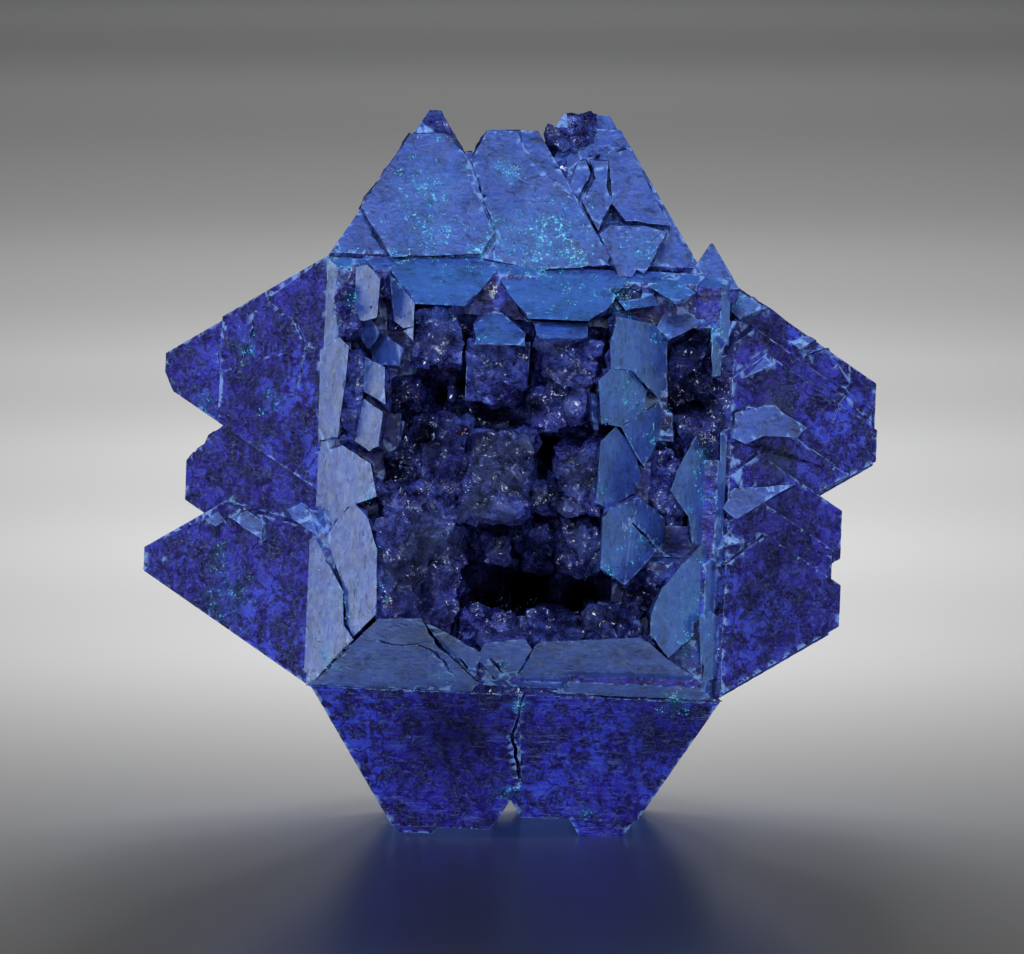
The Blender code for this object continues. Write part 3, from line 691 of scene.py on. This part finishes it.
class Graph:
    """A short way to add shader nodes to a tree."""

    def __init__(self, tree: bpy.types.NodeTree) -> None:
        """Keeps the tree that the nodes go to."""
        self.tree = tree

    def add(self, kind: str, inputs: dict | None = None, **settings: object) -> bpy.types.Node:
        """Adds a node.

        Args:
            kind: the node's type, without its ShaderNode prefix.
            inputs: values or output sockets for its inputs, by name or number.
            **settings: properties of the node.

        Returns:
            The node.
        """
        node = self.tree.nodes.new("ShaderNode" + kind)
        for name, value in settings.items():
            setattr(node, name, value)
        for key, value in (inputs or {}).items():
            self.put(node, key, value)
        return node

    def put(self, node: bpy.types.Node, key: str | int, value: object) -> None:
        """Sets an input to a value, or links an output to it."""
        if isinstance(value, bpy.types.NodeSocket):
            self.tree.links.new(value, node.inputs[key])
        else:
            node.inputs[key].default_value = value

    def math(self, operation: str, first: object, second: object = 0.0) -> bpy.types.NodeSocket:
        """The result of an operation on two numbers."""
        return self.add("Math", {0: first, 1: second}, operation=operation).outputs[0]

    def total(self, *parts: tuple[object, float]) -> bpy.types.NodeSocket:
        """The weighted sum of several values."""
        result = None
        for value, weight in parts:
            part = self.math("MULTIPLY", value, weight)
            result = part if result is None else self.math("ADD", result, part)
        return result

    def both(self, *parts: object) -> bpy.types.NodeSocket:
        """The product of several values."""
        result = parts[0]
        for part in parts[1:]:
            result = self.math("MULTIPLY", result, part)
        return result

    def blend(self, share: object, first: object, second: object) -> bpy.types.NodeSocket:
        """A mix of two colours."""
        node = self.add("Mix", data_type="RGBA")
        self.put(node, "Factor", share)
        self.put(node, 6, first)
        self.put(node, 7, second)
        return node.outputs[2]

    def ramp(self, value: object, low: object, high: object) -> bpy.types.NodeSocket:
        """A smooth step from 0 at low to 1 at high."""
        inputs = {"Value": value, "From Min": low, "From Max": high}
        return self.add("MapRange", inputs, interpolation_type="SMOOTHSTEP").outputs["Result"]

    def cloud(
        self, where: object, scale: float, detail: float = 4.0, rough: float = 0.6, bend: float = 0.0,
    ) -> bpy.types.NodeSocket:
        """Noise from 0 to 1 over a place."""
        inputs = {"Vector": where, "Scale": scale, "Detail": detail, "Roughness": rough, "Distortion": bend}
        return self.add("TexNoise", inputs).outputs["Fac"]

    def turned(self, where: object, angle: float, scale: tuple[float, float, float]) -> bpy.types.NodeSocket:
        """A place turned about the line of sight and stretched."""
        return self.add("Mapping", {"Vector": where, "Rotation": (0.0, angle, 0.0), "Scale": scale}).outputs[0]

    def mask(self, name: str) -> bpy.types.NodeSocket:
        """What a piece's attribute holds."""
        return self.add("Attribute", attribute_name=name).outputs["Fac"]


class Effect:
    """A surface effect that several finishes share, kept as one shader node group."""

    name: str = ""
    takes: dict[str, str] = {}
    gives: dict[str, str] = {}

    def place(self, graph: Graph, values: dict[str, object]) -> bpy.types.NodeOutputs:
        """Puts the effect into a material.

        Args:
            graph: the material's nodes.
            values: numbers, colours or sockets for the effect's inputs.

        Returns:
            The outputs of the effect.
        """
        node = graph.tree.nodes.new("ShaderNodeGroup")
        node.node_tree = bpy.data.node_groups.get(self.name) or self._make()
        for key, value in values.items():
            graph.put(node, key, value)
        return node.outputs

    def _make(self) -> bpy.types.NodeTree:
        """Builds the group."""
        tree = bpy.data.node_groups.new(self.name, "ShaderNodeTree")
        for way, sockets in (("INPUT", self.takes), ("OUTPUT", self.gives)):
            for name, kind in sockets.items():
                tree.interface.new_socket(name=name, in_out=way, socket_type="NodeSocket" + kind)
        graph = Graph(tree)
        taken = tree.nodes.new("NodeGroupInput").outputs
        given = tree.nodes.new("NodeGroupOutput")
        for name, socket in self.wire(graph, taken).items():
            graph.put(given, name, socket)
        return tree

    def wire(self, graph: Graph, taken: bpy.types.NodeOutputs) -> dict[str, bpy.types.NodeSocket]:
        """Adds the effect's nodes and names the sockets that it gives."""
        raise NotImplementedError


class Mottle(Effect):
    """Deep blue stone with violet-black blotches, paler wisps and dark hairline veins."""

    name = "mottled stone"
    takes = {
        "Place": "Vector", "Shift": "Float", "Black": "Color", "Indigo": "Color", "Royal": "Color",
        "Bright": "Color", "Wisp": "Color", "Veins": "Float",
    }
    gives = {"Color": "Color", "Fine": "Float", "Middle": "Float"}

    def wire(self, graph: Graph, taken: bpy.types.NodeOutputs) -> dict[str, bpy.types.NodeSocket]:
        """Adds the effect's nodes and names the sockets that it gives."""
        mm = taken["Place"]
        wide = graph.cloud(mm, 0.2, 3.0, 0.5)
        middle = graph.cloud(mm, 0.95, 5.0, 0.68, 0.5)
        small = graph.cloud(mm, 3.4, 4.0, 0.72, 0.4)
        level = graph.math("SUBTRACT", graph.total((middle, 0.6), (small, 0.4)), taken["Shift"])
        colour = graph.blend(graph.ramp(level, 0.43, 0.49), taken["Black"], taken["Indigo"])
        colour = graph.blend(graph.ramp(level, 0.49, 0.555), colour, taken["Royal"])
        lively = graph.both(graph.ramp(wide, 0.46, 0.6), graph.ramp(level, 0.48, 0.57))
        colour = graph.blend(lively, colour, taken["Bright"])
        ropes = graph.math("ABSOLUTE", graph.math("SUBTRACT", graph.cloud(mm, 1.6, 4.0, 0.75, 1.5), 0.5))
        colour = graph.blend(graph.both(graph.ramp(ropes, 0.018, 0.0), 0.3), colour, taken["Wisp"])
        bent = graph.add("VectorMath", {0: mm, 1: graph.add("TexNoise", {"Vector": mm, "Scale": 1.3}).outputs["Color"]})
        cells = {"Vector": bent.outputs[0], "Scale": 0.62}
        gap = graph.add("TexVoronoi", cells, feature="DISTANCE_TO_EDGE").outputs["Distance"]
        vein = graph.both(graph.ramp(gap, 0.035, 0.006), graph.ramp(middle, 0.42, 0.56), taken["Veins"])
        return {"Color": graph.blend(vein, colour, taken["Black"]), "Fine": small, "Middle": middle}


class Dust(Effect):
    """Crisp specks of pale crust that gather in patches."""

    name = "crust specks"
    takes = {"Place": "Vector", "Thickness": "Float"}
    gives = {"Specks": "Float", "Hearts": "Float"}

    def wire(self, graph: Graph, taken: bpy.types.NodeOutputs) -> dict[str, bpy.types.NodeSocket]:
        """Adds the effect's nodes and names the sockets that it gives."""
        mm = taken["Place"]
        level = graph.total((graph.cloud(mm, 8.0, 4.0, 0.7), 0.6), (graph.cloud(mm, 2.0, 3.0, 0.7, 0.6), 0.4))
        bar = graph.math("SUBTRACT", 0.615, graph.both(taken["Thickness"], 0.125))
        over = graph.math("SUBTRACT", level, bar)
        near = graph.ramp(taken["Thickness"], 0.0, 0.12)
        specks = graph.both(graph.ramp(over, 0.0, 0.022), near)
        return {"Specks": specks, "Hearts": graph.both(graph.ramp(over, 0.035, 0.07), near)}


class Chipping(Effect):
    """Tiny flat chips that tip every way, and fine ripples, as a height in millimetres."""

    name = "chipped relief"
    takes = {"Place": "Vector", "Chips": "Float", "Ripples": "Float"}
    gives = {"Height": "Float"}

    def wire(self, graph: Graph, taken: bpy.types.NodeOutputs) -> dict[str, bpy.types.NodeSocket]:
        """Adds the effect's nodes and names the sockets that it gives."""
        mm = taken["Place"]
        sway = graph.add("TexNoise", {"Vector": mm, "Scale": 3.0}).outputs["Color"]
        bent = graph.add("VectorMath", {0: sway, 1: (0.05, 0.05, 0.05), 2: mm}, operation="MULTIPLY_ADD")
        tips = []
        for scale in (1.5, 4.0):
            chip = graph.add("TexVoronoi", {"Vector": bent.outputs[0], "Scale": scale}, feature="F1")
            out = graph.add("VectorMath", {0: bent.outputs[0], 1: chip.outputs["Position"]}, operation="SUBTRACT")
            way = graph.add("VectorMath", {0: chip.outputs["Color"], 1: (0.5, 0.5, 0.5)}, operation="SUBTRACT")
            tips.append(graph.add("VectorMath", {0: out.outputs[0], 1: way.outputs[0]}, operation="DOT_PRODUCT"))
        chips = graph.total((tips[0].outputs["Value"], 1.2), (tips[1].outputs["Value"], 0.5))
        fine = graph.add(
            "TexNoise", {"Vector": mm, "Scale": 3.4, "Detail": 4.0, "Roughness": 0.62, "Distortion": 0.4},
            noise_type="RIDGED_MULTIFRACTAL",
        ).outputs["Fac"]
        lines = graph.cloud(graph.turned(mm, 0.55, (1.2, 9.0, 9.0)), 1.0, 3.0, 0.6)
        ripples = graph.total((fine, 0.07), (lines, 0.015))
        height = graph.math("ADD", graph.both(chips, taken["Chips"]), graph.both(ripples, taken["Ripples"]))
        return {"Height": height}


class Scratches(Effect):
    """Short, straight, pale growth lines in two directions."""

    name = "growth lines"
    takes = {"Place": "Vector", "Where": "Float"}
    gives = {"Lines": "Float"}

    def wire(self, graph: Graph, taken: bpy.types.NodeOutputs) -> dict[str, bpy.types.NodeSocket]:
        """Adds the effect's nodes and names the sockets that it gives."""
        found = []
        for angle, low, high in ((0.52, 0.49, 0.53), (-0.62, 0.47, 0.41)):
            level = graph.cloud(graph.turned(taken["Place"], angle, (0.3, 4.2, 4.2)), 1.0, 2.0, 0.5)
            line = graph.ramp(graph.math("ABSOLUTE", graph.math("SUBTRACT", level, 0.5)), 0.022, 0.004)
            found.append(graph.both(line, graph.ramp(taken["Where"], low, high)))
        return {"Lines": graph.math("MAXIMUM", *found)}


class Crumple(Effect):
    """Thin pale ridges, where shell-like breaks meet."""

    name = "broken ridges"
    takes = {"Place": "Vector", "Where": "Float"}
    gives = {"Ridges": "Float"}

    def wire(self, graph: Graph, taken: bpy.types.NodeOutputs) -> dict[str, bpy.types.NodeSocket]:
        """Adds the effect's nodes and names the sockets that it gives."""
        mm = taken["Place"]
        level = graph.cloud(graph.turned(mm, -0.5, (1.3, 3.0, 3.0)), 1.0, 4.0, 0.62, 0.8)
        rope = graph.ramp(graph.math("ABSOLUTE", graph.math("SUBTRACT", level, 0.5)), 0.03, 0.003)
        bent = graph.add("VectorMath", {0: mm, 1: graph.add("TexNoise", {"Vector": mm, "Scale": 2.5}).outputs["Color"]})
        gap = graph.add("TexVoronoi", {"Vector": bent.outputs[0], "Scale": 2.3}, feature="DISTANCE_TO_EDGE")
        seam = graph.ramp(gap.outputs["Distance"], 0.07, 0.01)
        lines = graph.math("MAXIMUM", rope, graph.both(seam, 0.6))
        return {"Ridges": graph.both(lines, graph.ramp(taken["Where"], 0.44, 0.54))}


def rgba(colour: Colour) -> tuple[float, float, float, float]:
    """A colour with full opacity."""
    return (*colour, 1.0)


@dataclass(frozen=True)
class StoneFinish:
    """Blue stone: deep colour with violet-black clouds, cyan dust, painted highlights on edges and ridges, and painted
    shade and sheen.

    Attributes:
        name: the material's name.
        gloss: the lowest and highest roughness.
        chips: how strongly tiny chips stand out.
        ripples: how strongly fine ripples stand out.
        relief_highlight_and_shade: how strongly standing broken parts get a painted highlight and sunken ones a painted
            shade.
        shift: how much more of the surface the dark blotches take.
        black, indigo, royal, bright: the stone's colours, from its darkest.
        cyan, white: the dust's colours.
        edge: the colour of the paler wisps in the stone and of the painted highlight along nicked edges.
        ridge_highlight: the colour of the painted highlight on standing broken parts.
        ash: the colour of the painted grey sheen on broken stone.
        painted_sheen: the pale blue of the painted sheen on the frame's faces and the upper faces.
        gloom: the near-black colour of painted shade in the deepest hollows and the sunken parts.
        ior: the stone's refractive index.
    """

    name: str
    gloss: tuple[float, float]
    chips: float
    ripples: float
    relief_highlight_and_shade: float = 0.0
    shift: float = 0.0
    black: Colour = (0.005, 0.003, 0.060)
    indigo: Colour = (0.014, 0.008, 0.17)
    royal: Colour = (0.022, 0.018, 0.38)
    bright: Colour = (0.028, 0.050, 0.60)
    cyan: Colour = (0.05, 0.55, 0.85)
    white: Colour = (0.55, 0.90, 0.95)
    edge: Colour = (0.20, 0.38, 0.85)
    scratch: Colour = (0.10, 0.15, 0.50)
    ridge_highlight: Colour = (0.06, 0.09, 0.26)
    ash: Colour = (0.035, 0.05, 0.10)
    painted_sheen: Colour = (0.038, 0.100, 0.43)
    gloom: Colour = (0.0008, 0.0006, 0.004)
    ior: float = 2.03

    def material(self) -> bpy.types.Material:
        """Builds the material."""
        material = bpy.data.materials.new(self.name)
        material.use_nodes = True
        graph = Graph(material.node_tree)
        shader = material.node_tree.nodes["Principled BSDF"]
        place = graph.add("TexCoord").outputs["Object"]
        mm = graph.add("Mapping", {"Vector": place, "Scale": (1000, 1000, 1000)}).outputs[0]
        dust = graph.mask("dust")
        specks = Dust().place(graph, {"Place": mm, "Thickness": dust})
        graph.put(shader, "Base Color", self._colour(graph, mm, dust, specks))
        low, high = self.gloss
        spread = {"Value": graph.cloud(mm, 2.2, 3.0, 0.65), "From Min": 0.3, "From Max": 0.7, "To Min": low, "To Max": high}
        rough = graph.add("MapRange", spread).outputs[0]
        graph.put(shader, "Roughness", graph.math("MAXIMUM", rough, graph.both(specks["Specks"], 0.6)))
        # Painted shade is also made metallic, so that the lamps barely light it.
        graph.put(shader, "Metallic", graph.ramp(graph.mask("gloom"), 0.45, 0.95))
        shader.inputs["IOR"].default_value = self.ior
        relief = {"Place": mm, "Chips": self.chips, "Ripples": self.ripples}
        height = Chipping().place(graph, relief)["Height"]
        bump = graph.add("Bump", {"Height": height, "Strength": 1.0, "Distance": 1.0 * MM})
        graph.put(shader, "Normal", bump.outputs[0])
        return material

    def _colour(
        self, graph: Graph, mm: bpy.types.NodeSocket, dust: bpy.types.NodeSocket, specks: bpy.types.NodeOutputs,
    ) -> bpy.types.NodeSocket:
        """The stone's colour with all that lies on it, and with painted shade, painted sheen and painted highlights
        laid in.

        Args:
            graph: the material's nodes.
            mm: the place in millimetres.
            dust: how thick the dust lies.
            specks: the outputs of the dust effect.
        """
        tone = graph.math("ADD", graph.both(graph.math("SUBTRACT", graph.mask("tone"), 0.5), 0.03), self.shift)
        mottle = Mottle().place(graph, {
            "Place": mm, "Shift": tone, "Black": rgba(self.black), "Indigo": rgba(self.indigo),
            "Royal": rgba(self.royal), "Bright": rgba(self.bright), "Wisp": rgba(self.edge), "Veins": 0.85,
        })
        fine, base = mottle["Fine"], mottle["Color"]
        # Painted grey sheen on broken stone.
        base = graph.blend(graph.both(graph.mask("ash"), graph.ramp(fine, 0.25, 0.55), 0.95), base, rgba(self.ash))
        relief = graph.mask("relief")
        # Painted highlight on standing broken parts, and painted shade in sunken ones.
        base = graph.blend(graph.both(graph.ramp(relief, 0.3, 1.6), self.relief_highlight_and_shade), base, rgba(self.ridge_highlight))
        base = graph.blend(graph.both(graph.ramp(relief, -0.3, -1.5), self.relief_highlight_and_shade, 1.1), base, rgba(self.gloom))
        # Painted sheen, pale blue and mottled, on faces that tilt up or lean back like the frame's.
        sheen_share = graph.total((1.0, 0.15), (graph.ramp(mottle["Middle"], 0.38, 0.58), 0.38), (graph.ramp(fine, 0.36, 0.5), 0.35))
        base = graph.blend(graph.both(graph.mask("bloom"), sheen_share), base, rgba(self.painted_sheen))
        if self.relief_highlight_and_shade:
            lines = Crumple().place(graph, {"Place": mm, "Where": mottle["Middle"]})["Ridges"]
        else:
            lines = Scratches().place(graph, {"Place": mm, "Where": mottle["Middle"]})["Lines"]
        base = graph.blend(graph.both(lines, 0.55), base, rgba(self.scratch))
        # Painted shade, near black, where the shade patches lie.
        base = graph.blend(graph.both(graph.mask("gloom"), 0.97), base, rgba(self.gloom))
        grit = graph.ramp(fine, 0.40, 0.54)
        # Painted highlight along nicked crystal edges and the borders of breaks, broken up by grit.
        base = graph.blend(graph.both(graph.ramp(graph.mask("wear"), 0.55, 1.0), grit, 0.85), base, rgba(self.edge))
        shows = graph.math("MAXIMUM", graph.both(specks["Specks"], 0.85), graph.both(dust, 0.12))
        base = graph.blend(shows, base, rgba(self.cyan))
        return graph.blend(graph.both(specks["Hearts"], 0.55), base, rgba(self.white))


@dataclass(frozen=True)
class GrainFinish:
    """Small crust grains: one colour that varies from grain to grain."""

    name: str
    dark: Colour
    light: Colour

    def material(self) -> bpy.types.Material:
        """Builds the material."""
        material = bpy.data.materials.new(self.name)
        material.use_nodes = True
        graph = Graph(material.node_tree)
        shader = material.node_tree.nodes["Principled BSDF"]
        place = graph.add("TexCoord").outputs["Object"]
        mm = graph.add("Mapping", {"Vector": place, "Scale": (1000, 1000, 1000)}).outputs[0]
        share = graph.ramp(graph.cloud(mm, 7.0, 3.0, 0.6), 0.4, 0.6)
        graph.put(shader, "Base Color", graph.blend(share, rgba(self.dark), rgba(self.light)))
        graph.put(shader, "Roughness", graph.total((share, 0.3), (1.0, 0.35)))
        return material


@dataclass
class Crust:
    """Small grains that sit on the cluster, in clumps round given pixels.

    Attributes:
        name: the piece's name.
        spots: where clumps gather, each with its reach and its density.
        finish: the grains' finish.
        crowd: how many grains a spot gets, for each 100 square pixels at full density.
        least: the number that every spot gets.
        size: the smallest and largest radius.
        flat: a grain's height as a share of its width.
        seed: of the scatter.
    """

    name: str
    spots: tuple[Patch, ...]
    finish: GrainFinish
    crowd: float = 8.0
    least: int = 10
    size: tuple[float, float] = (0.012 * MM, 0.045 * MM)
    flat: float = 0.6
    seed: int = 7

    def build(self, body: bpy.types.Object) -> bpy.types.Object:
        """Scatters the grains over the body as one piece."""
        bare = bmesh.new()
        bare.from_mesh(body.data)
        surface = BVHTree.FromBMesh(bare)
        bare.free()
        chance = random.Random(self.seed)
        bm = bmesh.new()
        for spot in self.spots:
            count = self.least + round(self.crowd * spot.density * spot.reach ** 2 / 100)
            clumps = [self._near(chance, spot.pixel, spot.reach * 0.45) for _ in range(1 + count // 7)]
            for _ in range(count):
                pixel = self._near(chance, chance.choice(clumps), 2.2)
                self._add_grain(bm, surface, chance, pixel)
        return new_piece(bm, self.name)

    @staticmethod
    def _near(chance: random.Random, pixel: Pixel, reach: float) -> Pixel:
        """A pixel near another."""
        return chance.gauss(pixel[0], reach), chance.gauss(pixel[1], reach)

    def _add_grain(self, bm: bmesh.types.BMesh, surface: BVHTree, chance: random.Random, pixel: Pixel) -> None:
        """Sets one grain on what a pixel shows, unless it would leave the solid's box."""
        place, normal, _, _ = surface.ray_cast(VIEW.place(), VIEW.ray(pixel))
        if place is None:
            return
        low, high = self.size
        radius = low + (high - low) * chance.random() ** 2.2
        margin = 1.2 * radius
        if not all(lo + margin < c < hi - margin for c, lo, hi in zip(place, *CAD_BOX)):
            return
        turn = normal.to_track_quat("Z", "Y").to_matrix().to_4x4()
        turn @= Matrix.Rotation(chance.uniform(0, math.tau), 4, "Z")
        form = Matrix.Diagonal((radius, radius * chance.uniform(0.6, 1.0), radius * self.flat, 1.0))
        seat = Matrix.Translation(place + normal * radius * self.flat * 0.3)
        bmesh.ops.create_icosphere(bm, subdivisions=1, radius=1.0, matrix=seat @ turn @ form)


@dataclass(frozen=True)
class Softbox:
    """A rectangular studio light that faces the cluster.

    Attributes:
        name: its name.
        place_mm: where it stands, in millimetres.
        size_mm: its width and height.
        glow: how bright its face looks.
        colour: its colour.
        mirrored: whether it shows in reflections.
        aim_mm: what it points at.
    """

    name: str
    place_mm: tuple[float, float, float]
    size_mm: tuple[float, float]
    glow: float
    colour: Colour = (1.0, 1.0, 1.0)
    mirrored: bool = True
    aim_mm: tuple[float, float, float] = (0.0, 0.0, 14.4)

    def add(self) -> bpy.types.Object:
        """Makes the light."""
        data = bpy.data.lights.new(self.name, "AREA")
        data.shape = "RECTANGLE"
        data.size, data.size_y = (side * MM for side in self.size_mm)
        data.energy = self.glow * math.pi * data.size * data.size_y
        data.color = self.colour
        light = hang(data, self.place_mm, self.aim_mm)
        light.visible_glossy = self.mirrored
        return light


@dataclass(frozen=True)
class Lamp:
    """A small lamp low over the floor, which makes one soft pool of light on it.

    Attributes:
        across_mm: how far right of the cluster's middle it hangs.
        back_mm: how far behind the cluster's middle it hangs.
        height_mm: how high it hangs.
        glow: how bright the floor gets right below it.
        blur_mm: how large the lamp is.
    """

    across_mm: float
    back_mm: float
    height_mm: float
    glow: float
    blur_mm: float = 12.0

    def add(self) -> bpy.types.Object:
        """Makes the light."""
        data = bpy.data.lights.new("floor lamp", "POINT")
        data.shadow_soft_size = self.blur_mm * MM
        data.energy = self.glow * 4 * math.pi ** 2 * (self.height_mm * MM) ** 2 * 1.0
        place = (self.across_mm, self.back_mm, self.height_mm)
        light = hang(data, place, (self.across_mm, self.back_mm, 0.0))
        light.visible_glossy = False
        return light


def hang(
    data: bpy.types.Light, place_mm: tuple[float, float, float], aim_mm: tuple[float, float, float],
) -> bpy.types.Object:
    """Puts a light in the scene, turned to what it points at.

    Args:
        data: the light.
        place_mm: where it stands, in millimetres.
        aim_mm: what it points at.

    Returns:
        The light's object.
    """
    light = bpy.data.objects.new(data.name, data)
    place = Vector(place_mm) * MM
    away = place - Vector(aim_mm) * MM
    light.matrix_world = Matrix.Translation(place) @ away.to_track_quat("Z", "Y").to_matrix().to_4x4()
    bpy.context.scene.collection.objects.link(light)
    return light


@dataclass
class Studio:
    """A wide pale floor, the lights for the cluster and the lamps for the floor."""

    radius: float = 4000 * MM
    softboxes: tuple[Softbox, ...] = (
        Softbox("key", (0, -135, 225), (160, 110), 0.6, (0.6, 0.85, 1.0)),
        Softbox("top", (0, 95, 230), (160, 90), 0.5, (0.1, 0.7, 1.0)),
        Softbox("left behind", (-230, 118, 5), (110, 170), 2.0, (0.70, 0.84, 1.0)),
        Softbox("right behind", (230, 118, 5), (110, 170), 0.9, (0.35, 0.72, 1.0)),
        Softbox("below", (0, 75, -110), (130, 70), 0.9, (0.6, 0.85, 1.0)),
        Softbox("front left", (-150, -310, 210), (70, 60), 22.0, (0.75, 0.86, 1.0)),
        Softbox("front right", (110, -330, 170), (60, 50), 16.0, (0.75, 0.86, 1.0)),
        Softbox("fill top", (-20, -200, 340), (160, 120), 13.0, mirrored=False),
        Softbox("fill left", (-300, -150, 40), (160, 120), 2.9, mirrored=False),
        Softbox("fill right", (280, -140, 60), (160, 120), 3.6, mirrored=False),
        Softbox("fill front", (0, -400, 30), (200, 120), 3.2, mirrored=False),
        Softbox("fill low", (0, -150, -220), (160, 120), 5.0, mirrored=False),
    )
    lamps: tuple[Lamp, ...] = (
        Lamp(0, 30, 45, 0.30), Lamp(0, 70, 45, 1.1), Lamp(0, 130, 50, 1.25),
        Lamp(0, 200, 60, 1.15), Lamp(0, 290, 80, 0.92), Lamp(0, 400, 120, 0.62),
        Lamp(0, 560, 170, 0.34), Lamp(0, 780, 190, 0.34), Lamp(0, 1100, 220, 0.34),
    )
    cards: tuple[Softbox, ...] = (
        Softbox("card", (0, 300, 46), (240, 34), 0.38, aim_mm=(0, 0, 20)),
    )

    def build(self) -> None:
        """Makes the floor and the lights."""
        bm = bmesh.new()
        bmesh.ops.create_circle(bm, cap_ends=True, segments=96, radius=self.radius)
        floor = new_piece(bm, "floor")
        floor.data.materials.append(self._floor_finish())
        floor.visible_glossy = False
        floor.visible_shadow = False
        ground = bpy.data.collections.new("lit by lamps")
        ground.objects.link(floor)
        cluster = bpy.data.collections.new("lit by softboxes")
        for piece in bpy.data.objects:
            if piece.type == "MESH" and piece is not floor:
                cluster.objects.link(piece)
        for softbox in self.softboxes:
            softbox.add().light_linking.receiver_collection = cluster
        for lamp in (*self.lamps, *self.cards):
            lamp.add().light_linking.receiver_collection = ground
        self._surroundings()
        bpy.context.scene.view_settings.view_transform = "Standard"
        cycles = bpy.context.scene.cycles
        cycles.use_denoising = True
        cycles.denoising_prefilter = "NONE"
        cycles.max_bounces, cycles.diffuse_bounces, cycles.glossy_bounces = 4, 2, 2

    @staticmethod
    def _surroundings() -> None:
        """A dim room, which looks paler where it is seen directly."""
        world = bpy.data.worlds.new("studio")
        bpy.context.scene.world = world
        world.use_nodes = True
        graph = Graph(world.node_tree)
        back = world.node_tree.nodes["Background"]
        back.inputs["Color"].default_value = (0.9, 0.95, 1.0, 1.0)
        seen = graph.add("LightPath").outputs["Is Camera Ray"]
        graph.put(back, "Strength", graph.add("MapRange", {"Value": seen, "To Min": 0.03, "To Max": 0.15}).outputs[0])

    @staticmethod
    def _floor_finish() -> bpy.types.Material:
        """Plain pale grey with a soft sheen."""
        material = bpy.data.materials.new("pale floor")
        material.use_nodes = True
        shader = material.node_tree.nodes["Principled BSDF"]
        shader.inputs["Base Color"].default_value = (0.6, 0.6, 0.6, 1.0)
        shader.inputs["Roughness"].default_value = 0.28
        return material


CRUSTS = (
    Crust("cyan_crust", PATCHES, GrainFinish("cyan grains", (0.02, 0.35, 0.75), (0.15, 0.75, 0.90))),
    Crust(
        "white_crust",
        (
            Patch((480, 250), 9, 1.0), Patch((388, 250), 6, 1.0), Patch((425, 135), 5, 0.6),
            Patch((405, 260), 8, 1.0), Patch((577, 256), 9, 1.0), Patch((410, 737), 2, 1.0),
            Patch((676, 698), 8, 1.0), Patch((519, 706), 4, 0.8), Patch((508, 170), 7, 1.0),
            Patch((430, 400), 40, 0.06), Patch((420, 480), 50, 0.05), Patch((520, 600), 60, 0.04),
            Patch((690, 420), 40, 0.10), Patch((560, 520), 50, 0.06), Patch((540, 250), 60, 0.05),
        ),
        GrainFinish("white grains", (0.35, 0.62, 0.80), (0.85, 0.92, 0.95)),
        crowd=20.0, least=6, size=(0.010 * MM, 0.035 * MM), seed=11,
    ),
    Crust(
        "white_flake", (Patch((494, 293), 3, 1.0),),
        GrainFinish("pale flake", (0.55, 0.62, 0.72), (0.85, 0.90, 0.95)),
        crowd=60.0, least=12, size=(0.05 * MM, 0.12 * MM), flat=0.35, seed=5,
    ),
    Crust(
        "gold_specks",
        (Patch((416, 394), 2, 1.0), Patch((466, 432), 2, 1.0), Patch((422, 492), 2, 1.0)),
        GrainFinish("gold specks", (0.45, 0.16, 0.03), (0.85, 0.45, 0.12)),
        least=4, size=(0.02 * MM, 0.05 * MM), seed=3,
    ),
)


def make_pieces() -> dict[str, bpy.types.Object]:
    """Builds every piece of the cluster, dressed."""
    body = CrystalBody(CRACKS, PATCHES, PAINTED_SHADE, PAINTED_GREY_SHEEN).build()
    pieces = {body.name: body}
    for crust in CRUSTS:
        pieces[crust.name] = crust.build(body)
    dress_pieces(pieces)
    return pieces


def dress_pieces(pieces: dict[str, bpy.types.Object]) -> None:
    """Gives the pieces their finishes."""
    body = pieces["cumengeite_crystals"]
    body.data.materials.append(StoneFinish("crystal face", (0.24, 0.42), 0.05, 0.4).material())
    body.data.materials.append(
        StoneFinish(
            "broken surface", (0.11, 0.30), 0.9, 0.25, relief_highlight_and_shade=0.5, shift=-0.01,
            black=(0.007, 0.0045, 0.065), indigo=(0.013, 0.009, 0.125),
            royal=(0.028, 0.028, 0.27), bright=(0.035, 0.06, 0.40), ior=1.85,
        ).material()
    )
    for crust in CRUSTS:
        pieces[crust.name].data.materials.append(crust.finish.material())


def main() -> None:
    """Builds the cluster and the studio, in order."""
    logging.basicConfig(level=logging.INFO, format="%(name)s: %(message)s")
    for name, piece in make_pieces().items():
        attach(piece, "root")
        LOG.info("%s: %d faces", name, len(piece.data.polygons))
    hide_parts(NODE)
    Studio().build()
    VIEW.add_camera()


if __name__ == "__main__":
    main()
